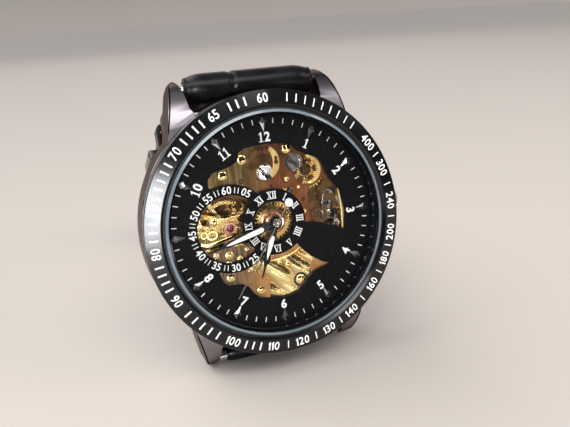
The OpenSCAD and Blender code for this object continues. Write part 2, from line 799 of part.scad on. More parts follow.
module plate_screws() {
  color([0.95, 0.78, 0.45]) place() for (i = [0 : len(cover_screws()) - 1])
    at(cover_screws()[i], cover_top) rotate(i * 50) screw(0.8, 0.17, 0.35, cover_top - bridge_top + 0.5, 0.2);
}

// barrel and winding

module barrel_drum() {
  color([0.88, 0.68, 0.35]) place() at(barrel_p) difference() {
    union() {
      disc(barrel_pr - 0.3, -5, -3.05);
      slab(-3.5, -3.05) teeth(barrel_n, barrel_m);
    }
    disc(barrel_pr - 0.6, -6, -3.3);
    disc(0.85, -6, 0);
  }
}

module barrel_cover() {
  color([0.8, 0.62, 0.32]) place() at(barrel_p) difference() {
    disc(barrel_pr - 0.6, -5, -4.75);
    disc(0.65, -6, 0);
  }
}

module mainspring() {
  color([0.5, 0.55, 0.65]) place() at(barrel_p) slab(-4.65, -3.4)
    spiral(main_in, main_out, main_turns, main_w);
}

module barrel_arbor() {
  color([0.6, 0.6, 0.62]) place() at(barrel_p) difference() {
    union() {
      disc(0.6, plate_top - 0.6, -4.7);
      disc(1.04, -4.7, -3.35);
      disc(0.8, -3.35 - e, wind_floor);
      translate([-0.5, -0.5, wind_floor - e]) cube([1, 1, wheel_t + 0.05]);
    }
    disc(0.35, -2.3, 0);
  }
}

module ratchet_wheel() {
  color([0.75, 0.73, 0.7]) place() at(barrel_p) slab(wheel_z, wheel_z + wheel_t) difference() {
    teeth(ratchet_n, wind_m);
    square(1, center = true);
  }
}

module ratchet_screw() {
  color([0.8, 0.8, 0.82]) place() at(barrel_p, wheel_z + wheel_t) rotate(70) screw(1.3, 0.4, 0.35, 1, 0.28);
}

module inter_wheel() {
  color([0.95, 0.75, 0.4]) place() at(inter_c) slab(wheel_z, wheel_z + wheel_t) difference() {
    teeth(inter_n, wind_m, inter_ph);
    circle(0.6 + run);
    ring_holes(6, 1.9, 0.6);
  }
}

module idler_wheel() {
  color([0.74, 0.72, 0.7]) place() at(idler_c) slab(wheel_z, wheel_z + wheel_t) difference() {
    teeth(idler_n, wind_m, idler_ph);
    circle(0.45 + run);
  }
}

module crown_wheel() {
  color([0.72, 0.7, 0.68]) place() at(crownw_c) slab(wheel_z, wheel_z + wheel_t) difference() {
    teeth(crownw_n, wind_m, crownw_ph);
    circle(0.6 + run);
  }
}

module wheel_screws() {
  color([0.78, 0.78, 0.8]) place() {
    for (i = [0 : 2]) at(wheel_posts()[i], wheel_z + wheel_t + 0.05) rotate(25 + 40 * i) {
      screw(i == 2 ? 0.7 : 1, 0.18, 0.4, 0.95, 0.25);
      disc(i == 2 ? 0.45 : 0.6, -wheel_t - 0.1, e);
    }
    at([4.5, 9.1], cover_top) rotate(115) screw(1.5, 0.16, 1.1, cover_top - bridge_top, 0.3);
  }
}

module click() {
  beak = barrel_p + (ratchet_pr - 0.02) * [cos(187), sin(187)];
  color([0.72, 0.72, 0.75]) place() slab(wheel_z, wheel_z + wheel_t) difference() {
    union() {
      translate([-5.6, 7.2]) circle(0.65);
      difference() {
        link([-5.6, 7.2], beak + [-0.42, 0], 0.34);
        translate(barrel_p) circle(ratchet_pr + 0.12);
      }
      link([-5.6, 7.2], [-6.05, 6.75], 0.4);
    }
    translate([-5.6, 7.2]) circle(0.3 + run);
  }
}

module click_spring() {
  color([0.7, 0.7, 0.72]) place() slab(wheel_z, wheel_z + 0.3) {
    link([-6.38, 6.5], [-6.3, 9.2], 0.12);
    translate([-6.15, 9.35]) circle(0.35);
  }
}

// going train

// an arbor with thin pivots
module arbor(r, z0, z1, pivot = 0.1) {
  disc(pivot, z0 - 0.4, z0 + e);
  disc(r, z0, z1);
}

module second_wheel() {
  color([0.9, 0.7, 0.38]) place() at(second_c) {
    arbor(0.25, plate_top + 0.05, -1.4);
    slab(-3.6, -2.9) teeth(second_p, barrel_m, second_ph);
    slab(-2.85, -2.65) difference() {
      teeth(second_n, train_m, 0);
      ring_holes(5, 1.75, 0.85);
    }
    disc(0.5, -2.91, -2.55);
    slab(-1.4, -1) teeth(cannon_n, motion_m, 0);
  }
}

module third_wheel() {
  color([0.9, 0.7, 0.38]) place() at(third_c) {
    arbor(0.2, plate_top + 0.05, bridge_bot - 0.05);
    disc(0.1, bridge_bot - 0.06, bridge_bot + 0.35);
    slab(-3.05, -2.5) teeth(train_p, train_m, third_ph);
    slab(-3.9, -3.7) difference() {
      teeth(third_n, train_m, 0);
      ring_holes(5, 1.6, 0.8);
    }
    disc(0.42, -3.91, -3.5);
  }
}

module fourth_wheel() {
  color([0.9, 0.7, 0.38]) place() {
    disc(0.15, plate_top - 0.4, second_z + hand_t);
    slab(-4.1, -3.5) teeth(train_p, train_m, fourth_ph);
    slab(-4.5, -4.3) difference() {
      teeth(fourth_n, fourth_m, 0);
      ring_holes(5, 1.6, 0.8);
    }
    disc(0.42, -4.51, -4.05);
  }
}

module escape_wheel() {
  p = 360 / escape_n;
  color([0.75, 0.75, 0.78]) place() at(escape_c) {
    arbor(0.15, plate_top + 0.05, bridge_bot - 0.05);
    disc(0.1, bridge_bot - 0.06, bridge_bot + 0.35);
    slab(-4.65, -4.15) teeth(escape_p, fourth_m, escape_ph);
    slab(-4, -3.8) difference() {
      polygon([for (i = [0 : escape_n - 1]) each [
        for (q = [[escape_r - 0.45, 0.02], [escape_r - 0.42, 0.35], [escape_r, 0.66], [escape_r - 0.03, 0.8],
          [escape_r - 0.3, 0.86], [escape_r - 0.45, 0.98]])
          q[0] * [cos((i + q[1]) * p), sin((i + q[1]) * p)]]]);
      ring_holes(4, 0.85, 0.42);
    }
  }
}

module pallet_fork() {
  color([0.7, 0.7, 0.74]) place() at(pallet_c) rotate(lever_dir) {
    arbor(0.12, plate_top + 0.05, -3.62);
    disc(0.1, -3.63, -3.45);
    slab(-4, -3.8) {
      circle(0.35);
      difference() {
        translate([0, -0.14]) square([fork_len - 0.3, 0.28]);
        translate([fork_len - impulse_r - 0.25, -0.1]) square([1, 0.2]);
      }
      for (a = [-33, 33]) {
        q = escape_r * [cos(a), sin(a)] - [pallet_d, 0];
        link([0, 0], q * 1.02, 0.28);
        translate(q) rotate(a) translate([0.06, -0.12]) square([0.4, 0.24]);
      }
    }
  }
}

module balance_wheel() {
  color([0.92, 0.72, 0.4]) place() at(balance_c) rotate(lever_dir) {
    disc(0.1, plate_top - 0.35, plate_top + 0.1);
    disc(0.2, plate_top + 0.09, bridge_top - 0.65);
    disc(0.1, bridge_top - 0.66, bridge_top - 0.25);
    slab(-3.3, -2.7) difference() {
      circle(balance_r);
      circle(balance_r - 0.55);
    }
    slab(-3.1, -2.85) {
      translate([-0.3, -balance_r + 0.3]) square([0.6, 2 * balance_r - 0.6]);
      circle(0.7);
    }
    disc(0.6, -3.65, -3.45);
    translate([-impulse_r, 0, 0]) disc(0.08, -4.05, -3.6);
  }
}

module hairspring() {
  color([0.35, 0.45, 0.75]) place() at(balance_c) slab(-2.3, -2.05) {
    spiral(hair_in, hair_out, hair_turns, hair_w);
    difference() {
      circle(hair_in + 0.02);
      circle(0.2);
    }
  }
}

// motion works and hands

module cannon_pinion() {
  color([0.75, 0.75, 0.78]) place() difference() {
    union() {
      slab(-1.4, -1) teeth(cannon_n, motion_m, cannon_ph);
      disc(cannon_r, -1.01, minute_z + hand_t);
    }
    disc(0.45 + run, -3, 3);
  }
}

module minute_wheel() {
  color([0.92, 0.72, 0.4]) place() at(minute_c) difference() {
    union() {
      slab(-1.35, -1.1) teeth(minute_n, motion_m, minute_ph);
      slab(-1.11, cover_top) teeth(minute_p, motion_m, 0);
    }
    disc(0.2 + run, -3, 3);
  }
}

module hour_wheel() {
  color([0.95, 0.75, 0.42]) place() difference() {
    union() {
      slab(-0.88, -0.62) teeth(hour_n, motion_m, hour_ph);
      disc(hour_pipe_r, -0.63, hour_z + hand_t);
    }
    disc(cannon_r + run, -3, 3);
  }
}

// a pointed hand along X with a boss around its bore
module hand(len, wide, boss, bore) {
  difference() {
    union() {
      circle(boss);
      polygon([
        [0, -0.3], [len * 0.22, -wide / 2], [len * 0.68, -wide * 0.42], [len * 0.78, -0.2], [len, -0.06],
        [len, 0.06], [len * 0.78, 0.2], [len * 0.68, wide * 0.42], [len * 0.22, wide / 2], [0, 0.3]]);
    }
    circle(bore);
  }
}

module hour_hand() {
  color([0.06, 0.06, 0.06]) place() rotate(hour_a) slab(hour_z, hour_z + hand_t)
    hand(hour_len, 1.25, 1.05, hour_pipe_r);
}

module minute_hand() {
  color([0.06, 0.06, 0.06]) place() rotate(minute_a) slab(minute_z, minute_z + hand_t)
    hand(minute_len, 1.2, 0.88, cannon_r);
}

module seconds_hand() {
  color([0.08, 0.08, 0.08]) place() rotate(second_hand_a) slab(second_z, second_z + hand_t) difference() {
    union() {
      circle(0.45);
      polygon([[-second_tail, -0.09], [second_len, -0.05], [second_len, 0.05], [-second_tail, 0.09]]);
      translate([-second_tail, 0]) circle(0.72);
    }
    circle(0.15);
  }
}

// keyless works

module stem() {
  color([0.62, 0.62, 0.65]) place() difference() {
    union() {
      stem_rod(0.4, slide_x - 1.25, slide_x - 0.85);
      stem_rod(stem_r, slide_x - 0.86, stem_end);
    }
    difference() {
      stem_rod(2, lever_c[0] - 0.35, lever_c[0] + 0.35);
      stem_rod(0.3, 0, 30);
    }
  }
}

module crown() {
  edge = crown_x + crown_len - crown_edge;
  color([0.55, 0.5, 0.47]) place() difference() {
    union() {
      stem_rod(crown_r, crown_x, edge);
      translate([edge - e, 0, stem_z]) rotate([0, 90, 0])
        cylinder(r1 = crown_r, r2 = crown_r - 1.2 * crown_edge, h = crown_edge + e);
    }
    stem_rod(stem_r, crown_x - 1, stem_end);
    stem_rod(1.4, crown_x - 1, case_r + 1.2);
    translate([0, 0, stem_z]) for (i = [0 : crown_ribs - 1]) rotate([i * 360 / crown_ribs, 0, 0])
      translate([crown_x + 0.3, 0, crown_r + 0.06]) rotate([0, 90, 0])
        cylinder(r = 0.2, h = crown_len, $fn = 16);
  }
}

module winding_pinion() {
  color([0.7, 0.7, 0.72]) place() difference() {
    translate([winding_x, 0, stem_z]) rotate([90, 0, 90]) linear_extrude(1.2)
      teeth(winding_n, winding_r / (winding_n / 2 + 0.85), 0);
    stem_rod(stem_r + run, 0, 30);
  }
}

module sliding_pinion() {
  color([0.7, 0.7, 0.72]) place() difference() {
    stem_rod(1.1, slide_x, slide_x + 1.1);
    difference() {
      stem_rod(2, yoke_x - 0.22, yoke_x + 0.22);
      stem_rod(0.72, 0, 30);
    }
    stem_rod(stem_r + run, 0, 30);
  }
}

module setting_lever() {
  color([0.76, 0.76, 0.78]) place() at(lever_c) {
    slab(wind_floor, wind_floor + 0.4) difference() {
      union() {
        circle(0.7);
        link([0, 0], [0, lever_len], 0.6);
        link([0, 0], [-1, -0.7], 0.5);
      }
      circle(0.25 + run);
    }
    translate([0, lever_len, 0]) disc(0.2, stem_z + 0.38, wind_floor + e);
  }
}

module yoke() {
  color([0.76, 0.76, 0.78]) place() translate([yoke_x, yoke_y, 0])
  slab(stem_z - 0.2, stem_z + 0.2) difference() {
    union() {
      circle(0.6);
      link([0, 0], [0, yoke_len], 0.34);
      link([0, 0], [0.8, -0.4], 0.4);
    }
    circle(0.25 + run);
  }
}

// strap and buckle

// plan of the strap taper, X across and Y back
module taper() {
  g = lug_gap / 2 - slack;
  y0 = low_y + 6;
  y1 = low_y + 26;
  polygon([
    [-g, low_y - 9], [g, low_y - 9], [g, y0], [strap_half, y1], [strap_half, 60], [-strap_half, 60],
    [-strap_half, y1], [-g, y0]]);
}

module strap_12() {
  h = short_t / 2;
  u = on_line(s_up, h);
  color([0.06, 0.06, 0.06]) difference() {
    intersection() {
      across(lug_gap) {
        translate(u) circle(pad_r);
        translate(on_line(pin_s, h)) circle(h + 0.3);
        polygon([
          on_line(pin_s, short_t), on_line(30, short_t), on_line(s_up, h + pad_r - 0.05),
          on_line(s_up, h - pad_r + 0.05), on_line(30, 0), on_line(pin_s, 0)]);
      }
      slab(-1, 90) taper();
    }
    cross_rod(u, 0.9 + run, lug_gap);
    cross_rod(on_line(pin_s, h), pin_r + run, lug_gap);
    closing(pin_s, h) translate([-2.4, -1.5, -4]) cube([4.6, 3, 8]);
    case_room();
  }
}

// room for the round case between the lugs
module case_room() {
  place() disc(case_r + slack, case_bot - 1.6, 4);
}

// lift of the long strap near the end of the rear turn, from 0 to 1
function ease(t) = t <= 0 ? 0 : t >= 1 ? 1 : t * t * (3 - 2 * t);
function turn_pt(a, off) =
  turn_c + (turn_r - off + tail_lift * ease((a - 30 + beta) / 60)) * [cos(a), sin(a)];

module strap_6() {
  n = 40;
  a1 = 90 - beta;
  pad_end = low_y + 34;
  outer = concat(
    [[low_y, bar_h - end_r], [low_y + land_len, 0]], [for (i = [0 : n]) turn_pt(-90 + (a1 + 90) * i / n, 0)],
    [on_line(tail_len, tail_lift + long_t)]);
  inner = concat(
    [on_line(tail_len, tail_lift)], [for (i = [n : -1 : 0]) turn_pt(-90 + (a1 + 90) * i / n, long_t)],
    [[pad_end, long_t], [low_y, bar_h + end_r]]);
  color([0.06, 0.06, 0.06]) difference() {
    intersection() {
      across(lug_gap) {
        translate([low_y, bar_h]) circle(end_r);
        polygon(concat(outer, inner));
      }
      slab(-1, 90) taper();
    }
    cross_rod([low_y, bar_h], 0.9 + run, lug_gap);
    closing(pin_s, short_t / 2) rotate([0, -33, 0]) translate([-1.15, -1.1, -1]) cube([2.7, 2.2, 9]);
    for (i = [1 : 4]) closing(4.5 + i * 6.4, 0)
      translate([0, 0, tail_lift - 1]) cylinder(r = 1, h = long_t + 2);
    for (m = [0, 1]) mirror([m, 0, 0]) closing(tail_len, 0) translate([0, strap_half - 4, tail_lift - 0.5])
      rotate(-40) translate([-10, 0, 0]) cube([20, 10, long_t + 1]);
    case_room();
  }
}

module spring_bars() {
  color([0.75, 0.75, 0.77]) place() for (y = [-bar_y, bar_y]) translate([0, y, bar_z]) rotate([0, 90, 0]) {
    cylinder(r = 0.9, h = lug_gap - 0.3, center = true);
    cylinder(r = 0.5, h = lug_gap + 2, center = true);
  }
}

// plan of the buckle frame, X along the strap
module frame_plan() {
  inner = strap_half + 0.3;
  side = 2 * rod_r;
  difference() {
    union() {
      translate([-buckle_len, -inner - side + 2]) square([buckle_len + rod_r, 2 * (inner + side - 2)]);
      translate([-buckle_len + 2, -inner - side]) square([buckle_len + rod_r - 2, 2 * (inner + side)]);
      for (y = [-1, 1]) translate([-buckle_len + 2, y * (inner + side - 2)]) circle(2);
    }
    translate([-buckle_len + side, -inner]) square([buckle_len + side, 2 * inner]);
  }
}

module buckle_frame() {
  h = short_t / 2;
  half = strap_half + 0.3 + 2 * rod_r;
  color([0.5, 0.46, 0.44]) closing(pin_s, h) rotate([0, -frame_tilt, 0]) {
    difference() {
      slab(-rod_r, rod_r) frame_plan();
      translate([0, -20, 0]) rotate([-90, 0, 0]) cylinder(r = pin_r, h = 40);
    }
    translate([0, -half + 0.3, 0]) rotate([-90, 0, 0]) cylinder(r = pin_r, h = 2 * half - 0.6);
  }
}

module buckle_tongue() {
  h = short_t / 2;
  w = 1.3;
  a = [-3.2, 5.2];
  b = [-7.4, 3.6];
  c = [-14.3, 0.25];
  color([0.55, 0.5, 0.47]) closing(pin_s, h) translate([0, 0.8, 0]) rotate([90, 0, 0]) linear_extrude(1.6)
    difference() {
      union() {
        circle(pin_r + 0.55);
        link([0, 0], a, w);
        link(a, b, w);
        link(b, c, w);
      }
      circle(pin_r + run);
    }
}

// a flat loop around both straps
module keeper(s) {
  lo = -slack;
  hi = tail_lift + long_t + slack;
  half = strap_half + slack;
  closing(s, 0) difference() {
    translate([0, -half - keeper_t, lo - keeper_t])
      cube([keeper_len, 2 * (half + keeper_t), hi - lo + 2 * keeper_t]);
    translate([-1, -half, lo]) cube([keeper_len + 2, 2 * half, hi - lo]);
  }
}

module fixed_keeper() {
  color([0.05, 0.05, 0.05]) keeper(6);
}

module loop_keeper() {
  color([0.05, 0.05, 0.05]) keeper(18);
}

case_body();
case_tube();
bezel_ring();
bezel_insert();
crystal();
crystal_gasket();
dial_flange();
dial();
roman_ring();
hour_marks();
movement_holder();
case_back();
back_glass();
back_screws();
main_plate();
front_bridge();
cover_plate();
lower_bridge();
balance_bridge();
pallet_bridge();
jewels();
plate_screws();
barrel_drum();
barrel_cover();
mainspring();
barrel_arbor();
ratchet_wheel();
ratchet_screw();
inter_wheel();
idler_wheel();
crown_wheel();
wheel_screws();
click();
click_spring();
second_wheel();
third_wheel();
fourth_wheel();
escape_wheel();
pallet_fork();
balance_wheel();
hairspring();
cannon_pinion();
minute_wheel();
hour_wheel();
hour_hand();
minute_hand();
seconds_hand();
stem();
crown();
winding_pinion();
sliding_pinion();
setting_lever();
yoke();
strap_12();
strap_6();
spring_bars();
buckle_frame();
buckle_tongue();
fixed_keeper();
loop_keeper();
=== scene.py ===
# %% [markdown]
# # A skeleton wristwatch
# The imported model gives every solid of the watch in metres, standing on its buckled strap. This
# lesson dresses it: metal, paint, glass and leather, the printed scales, the pale hand inlays and
# the small polished details of the movement. The first cell loads the solids and keeps their box.

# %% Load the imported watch
import math
from contextlib import contextmanager

import bpy
from mathutils import Matrix, Vector, noise


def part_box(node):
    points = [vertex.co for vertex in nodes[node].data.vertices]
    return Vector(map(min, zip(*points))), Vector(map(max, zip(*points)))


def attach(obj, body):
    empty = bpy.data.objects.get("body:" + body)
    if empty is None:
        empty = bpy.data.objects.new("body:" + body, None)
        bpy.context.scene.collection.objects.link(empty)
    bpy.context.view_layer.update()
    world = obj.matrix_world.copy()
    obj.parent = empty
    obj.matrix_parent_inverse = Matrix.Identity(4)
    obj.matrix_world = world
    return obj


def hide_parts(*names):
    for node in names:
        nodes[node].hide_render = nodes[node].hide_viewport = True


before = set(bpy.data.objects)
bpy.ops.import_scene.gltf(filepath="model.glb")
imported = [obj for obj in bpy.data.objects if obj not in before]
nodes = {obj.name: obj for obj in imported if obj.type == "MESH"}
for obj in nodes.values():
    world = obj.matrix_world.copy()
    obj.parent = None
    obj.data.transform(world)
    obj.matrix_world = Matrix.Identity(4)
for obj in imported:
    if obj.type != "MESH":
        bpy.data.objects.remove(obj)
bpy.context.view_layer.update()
bpy.ops.object.select_all(action="DESELECT")

# %% [markdown]
# ## The dial's own frame
# A watchmaker measures from the centre of the dial: X to 3 o'clock, Y to 12 and Z out of the dial.
# Every flat piece below is drawn there in millimetres, and DIAL stands it up and leans it back.

# %% The dial frame
MM = 0.001
LEAN = math.radians(9)
DIAL_AT = Vector((0, -0.024, 0.02453584))
TILT = Matrix.Rotation(math.pi / 2 - LEAN, 4, "X")
DIAL = Matrix.Translation(DIAL_AT) @ TILT @ Matrix.Scale(MM, 4)


def at_angle(clockwise, radius, height=0.0):
    """A point of the dial, by its angle from 12 o'clock."""
    a = math.radians(clockwise)
    return Vector((radius * math.sin(a), radius * math.cos(a), height))


print("dial centre", tuple(DIAL @ Vector((0, 0, 0))))

# %% [markdown]
# ## Camera
# The photograph was taken from a little left of the dial and above it. The camera's place was found
# by fitting the rings of dial and bezel, so it is given in the dial's frame too.

# %% Camera
CAMERA_AT = Vector((-29.103, 17.729, 90.567))
RIGHT = Vector((0.9333, -0.1123, 0.3409))
DOWN = Vector((-0.1632, -0.9787, 0.1243))
FORWARD = Vector((0.3197, -0.1716, -0.9318))
SENSOR, FOCAL_PIXELS, PICTURE_PIXELS = 36, 600, 570


def linked(name, data):
    """A new object of the scene, for a mesh, a lamp or a camera."""
    thing = bpy.data.objects.new(name, data)
    bpy.context.scene.collection.objects.link(thing)
    return thing


camera = linked("camera", bpy.data.cameras.new("camera"))
camera.data.sensor_width = SENSOR
camera.data.lens = SENSOR * FOCAL_PIXELS / PICTURE_PIXELS
camera.data.clip_start = 0.005
turn = TILT.to_3x3() @ Matrix((RIGHT, -DOWN, -FORWARD)).transposed()
camera.matrix_world = Matrix.Translation(DIAL @ CAMERA_AT) @ turn.normalized().to_4x4()
bpy.context.scene.camera = camera
print("camera at", tuple(camera.location))

# %% [markdown]
# ## Floor and light
# A plain pale floor and soft boxes. Polished metal only shows its shape when part of what it
# reflects is dark, so a dark card stands in front, seen by reflections alone, and the sky fades
# upwards. A small box low on the left gives the black bezel its pale glint, and a strip just above
# the floor gives the gold bridges their bright streaks.


# %% Floor and card
def stage_plane(name, size, place, turned, colour):
    bpy.ops.mesh.primitive_plane_add(size=1, location=place, rotation=turned)
    plane = bpy.context.object
    plane.name = name
    plane.scale = (*size, 1)
    paper = bpy.data.materials.new(name)
    paper.use_nodes = True
    shader = paper.node_tree.nodes["Principled BSDF"]
    shader.inputs["Base Color"].default_value = (*colour, 1)
    shader.inputs["Roughness"].default_value = 0.8
    shader.inputs["Specular IOR Level"].default_value = 0.1
    plane.data.materials.append(paper)
    return plane


UPRIGHT = (math.pi / 2, 0, 0)
stage_plane("floor", (12, 12), (0, 3, 0), (0, 0, 0), (0.44, 0.4, 0.37))
card = stage_plane("dark_card", (1.5, 0.2), (0.12, -0.37, 0.1), UPRIGHT, (0.01, 0.01, 0.012))
card.visible_camera = card.visible_diffuse = card.visible_shadow = False
print("floor and card", tuple(card.location))


# %% Sky
def add_node(tree, kind, inputs=None, **settings):
    """A shader node with its settings. Its inputs are linked to outputs or set to plain values."""
    node = tree.nodes.new("ShaderNode" + kind)
    for key, value in settings.items():
        setattr(node, key, value)
    for label, value in (inputs or {}).items():
        if isinstance(value, bpy.types.NodeSocket):
            tree.links.new(value, node.inputs[label])
        else:
            node.inputs[label].default_value = value
    return node


world = bpy.data.worlds.new("studio")
world.use_nodes = True
sky = world.node_tree
height = add_node(sky, "SeparateXYZ", {"Vector": add_node(sky, "TexCoord").outputs["Generated"]})
fade = add_node(sky, "ValToRGB", {"Fac": height.outputs["Z"]})
fade.color_ramp.elements[0].color = (0.4, 0.363, 0.335, 1)
fade.color_ramp.elements[1].position = 0.3
fade.color_ramp.elements[1].color = (0.09, 0.1, 0.12, 1)
sky.links.new(fade.outputs["Color"], sky.nodes["Background"].inputs["Color"])
bpy.context.scene.world = world
bpy.context.scene.view_settings.view_transform = "Standard"
print("sky nodes", len(sky.nodes))

# %% Lights
WATCH_MID, WATCH_FOOT = (0, -0.02, 0.025), (0, -0.02, 0.006)


def area_light(name, place, aim, size, power, tint):
    lamp = linked(name, bpy.data.lights.new(name, "AREA"))
    lamp.data.shape = "RECTANGLE"
    lamp.data.size, lamp.data.size_y = size
    lamp.data.energy, lamp.data.color = power, tint
    lamp.location = place
    lamp.rotation_euler = (Vector(aim) - Vector(place)).to_track_quat("-Z", "Y").to_euler()


area_light("front_box", (-0.09, -0.31, 0.062), WATCH_MID, (0.05, 0.1), 0.55, (0.95, 0.97, 1))
area_light("low_strip", (0.08, -0.33, 0.006), WATCH_FOOT, (0.16, 0.01), 0.05, (1, 0.97, 0.92))
area_light("top_box", (-0.25, -0.15, 0.7), WATCH_MID, (0.6, 0.5), 1.0, (1, 0.98, 0.95))
area_light("front_fill", (-0.12, -0.5, 0.66), WATCH_MID, (0.9, 0.4), 6, (1, 0.99, 0.97))
area_light("right_box", (0.75, -0.5, 0.45), WATCH_MID, (0.3, 0.6), 2.5, (1, 0.93, 0.86))
area_light("back_box", (0.1, 0.9, 0.6), WATCH_MID, (1.2, 0.4), 2, (1, 0.93, 0.87))
sun = linked("even_light", bpy.data.lights.new("even_light", "SUN"))
sun.data.energy, sun.data.angle = 3.2, 1.2
sun.rotation_euler = (math.radians(-25), math.radians(-35), 0)

# %% [markdown]
# ## Effects that several finishes share
# Brushed lines, soft patches, small pits and leather grain are node groups. They turn the object's
# own coordinates into dial millimetres, so a scale of 1 means about one pattern per millimetre.


# %% Node group helpers
def new_group(name, inputs, outputs):
    """A node group, with its inputs to read and its outputs to fill."""
    group = bpy.data.node_groups.new(name, "ShaderNodeTree")
    for label, value in inputs:
        kind = "NodeSocketVector" if isinstance(value, tuple) else "NodeSocketFloat"
        group.interface.new_socket(label, in_out="INPUT", socket_type=kind).default_value = value
    for label in outputs:
        group.interface.new_socket(label, in_out="OUTPUT", socket_type="NodeSocketFloat")
    made = group.nodes.new
    return group, made("NodeGroupInput").outputs, made("NodeGroupOutput").inputs


def dial_coordinates(tree):
    """Object coordinates as dial millimetres."""
    place = {"Vector": add_node(tree, "TexCoord").outputs["Object"], "Location": DIAL_AT}
    place |= {"Rotation": (math.pi / 2 - LEAN, 0, 0), "Scale": (MM, MM, MM)}
    return add_node(tree, "Mapping", place, vector_type="TEXTURE").outputs["Vector"]


def noise_on(tree, vector, scale, detail=3.0):
    values = {"Vector": vector, "Scale": scale, "Detail": detail}
    return add_node(tree, "TexNoise", values).outputs["Fac"]


def maths(tree, operation, *values):
    return add_node(tree, "Math", dict(enumerate(values)), operation=operation).outputs["Value"]


# %% Node groups
def brushed_lines():
    sockets = [("Stretch", (9.0, 0.25, 9.0)), ("Turn", 0.0), ("Detail", 4.0)]
    group, given, out = new_group("brushed_lines", sockets, ["Lines"])
    around = {"Vector": dial_coordinates(group), "Angle": given["Turn"]}
    turned = add_node(group, "VectorRotate", around, rotation_type="Z_AXIS").outputs["Vector"]
    factors = {0: turned, 1: given["Stretch"]}
    scaled = add_node(group, "VectorMath", factors, operation="MULTIPLY").outputs["Vector"]
    group.links.new(noise_on(group, scaled, 1.0, given["Detail"]), out["Lines"])
    return group


def soft_patches():
    group, given, out = new_group("soft_patches", [("Scale", 0.4)], ["Patches"])
    group.links.new(noise_on(group, dial_coordinates(group), given["Scale"]), out["Patches"])
    return group


def small_pits():
    group, given, out = new_group("small_pits", [("Scale", 3.0), ("Amount", 0.3)], ["Pits"])
    spots = noise_on(group, dial_coordinates(group), given["Scale"], 6.0)
    deep = add_node(group, "MapRange", {"Value": spots, "From Min": 0.5, "From Max": 0.75})
    group.links.new(maths(group, "MULTIPLY", deep.outputs["Result"], given["Amount"]), out["Pits"])
    return group


GRAIN, FINE_GRAIN, CREASES = 1.2, 2.5, 0.35


def leather_grain():
    group, given, out = new_group("leather_grain", [("Scale", 1.0)], ["Height", "Creases"])
    vector = dial_coordinates(group)
    cells = {"Vector": vector, "Scale": maths(group, "MULTIPLY", given["Scale"], GRAIN)}
    walls = add_node(group, "TexVoronoi", cells, feature="DISTANCE_TO_EDGE").outputs["Distance"]
    fine = noise_on(group, vector, FINE_GRAIN, 2.0)
    group.links.new(maths(group, "MULTIPLY_ADD", fine, 0.6, walls), out["Height"])
    group.links.new(noise_on(group, vector, CREASES), out["Creases"])
    return group


EFFECTS = {g.name: g for g in (brushed_lines(), soft_patches(), small_pits(), leather_grain())}
print("effects", sorted(EFFECTS))

# %% [markdown]
# ## Finishes
# One builder makes a Principled finish: plain numbers go on the shader's sockets, and an effect
# group may vary colour, roughness and bump. Each finish is then a few lines.


# %% Finish builder
class Finish:
    """A material in the making, with short calls for what the finishes below need."""

    def __init__(self, name, **sockets):
        self.material = bpy.data.materials.new(name)
        self.material.use_nodes = True
        self.tree = self.material.node_tree
        self.shader = self.tree.nodes["Principled BSDF"]
        for label, value in sockets.items():
            socket = self.shader.inputs[label.replace("_", " ")]
            socket.default_value = (*value, 1) if isinstance(value, tuple) else value

    def effect(self, group, output, **values):
        return add_node(self.tree, "Group", values, node_tree=EFFECTS[group]).outputs[output]

    def lines(self, stretch, turn=0.0, detail=4.0):
        return self.effect("brushed_lines", "Lines", Stretch=stretch, Turn=turn, Detail=detail)

    def patches(self, scale):
        return self.effect("soft_patches", "Patches", Scale=scale)

    def ranged(self, value, low, high, start=0.3, stop=0.7):
        ends = {"From Min": start, "From Max": stop, "To Min": low, "To Max": high}
        return add_node(self.tree, "MapRange", {"Value": value, **ends}).outputs["Result"]

    def maths(self, operation, *values):
        return maths(self.tree, operation, *values)

    def mixed(self, mask, first, second):
        first, second = ((*c, 1) if isinstance(c, tuple) else c for c in (first, second))
        inputs = {0: mask, 6: first, 7: second}
        return add_node(self.tree, "Mix", inputs, data_type="RGBA").outputs[2]

    def drive(self, socket, output):
        self.tree.links.new(output, self.shader.inputs[socket])

    def colour(self, output):
        self.drive("Base Color", output)

    def roughness(self, output):
        self.drive("Roughness", output)

    def bump(self, height, strength, distance):
        values = {"Height": height, "Strength": strength, "Distance": distance}
        self.drive("Normal", add_node(self.tree, "Bump", values).outputs["Normal"])


def dial_place(finish):
    """The point's own X, Y and Z on the dial, in millimetres."""
    vector = dial_coordinates(finish.tree)
    return add_node(finish.tree, "SeparateXYZ", {"Vector": vector}).outputs


# %% Kinds of metal and paint
HAIRLINE = 0.00003


def brushed_metal(name, dark, light, rough, stretch, bump=0.15, patch=0.25, lined=0.35):
    """Metal with fine lines that move colour, gloss and height, over broad patches of colour."""
    finish = Finish(name, Metallic=1.0)
    lines = finish.lines(stretch)
    patches = finish.patches(patch)
    broad = finish.mixed(finish.ranged(patches, 0, 1), dark, light)
    shade = tuple(c * 0.45 for c in dark)
    finish.colour(finish.mixed(finish.ranged(lines, lined, 0, 0.38, 0.6), broad, shade))
    finish.roughness(finish.ranged(lines, *rough))
    finish.bump(lines, bump, HAIRLINE)
    return finish.material


def rippled_metal(name, dark, light, rough, turn, stretch, ripple=0.0009):
    """Polished plate whose broad ripples bend reflections into slanting streaks, and whose colour
    is painted from dark to light along the same ripples, as painted streaks of reflection.
    """
    finish = Finish(name, Metallic=1.0)
    ripple_and_painted_streak = finish.lines(stretch, turn, 0.7)
    lines = finish.lines((5.0, 0.3, 5.0))
    # Painted reflection: the colour goes from dark to light along the ripples that tilt the bump.
    finish.colour(finish.mixed(finish.ranged(ripple_and_painted_streak, 0, 1), dark, light))
    finish.roughness(finish.ranged(lines, *rough))
    finish.bump(ripple_and_painted_streak, 1.0, ripple)
    return finish.material


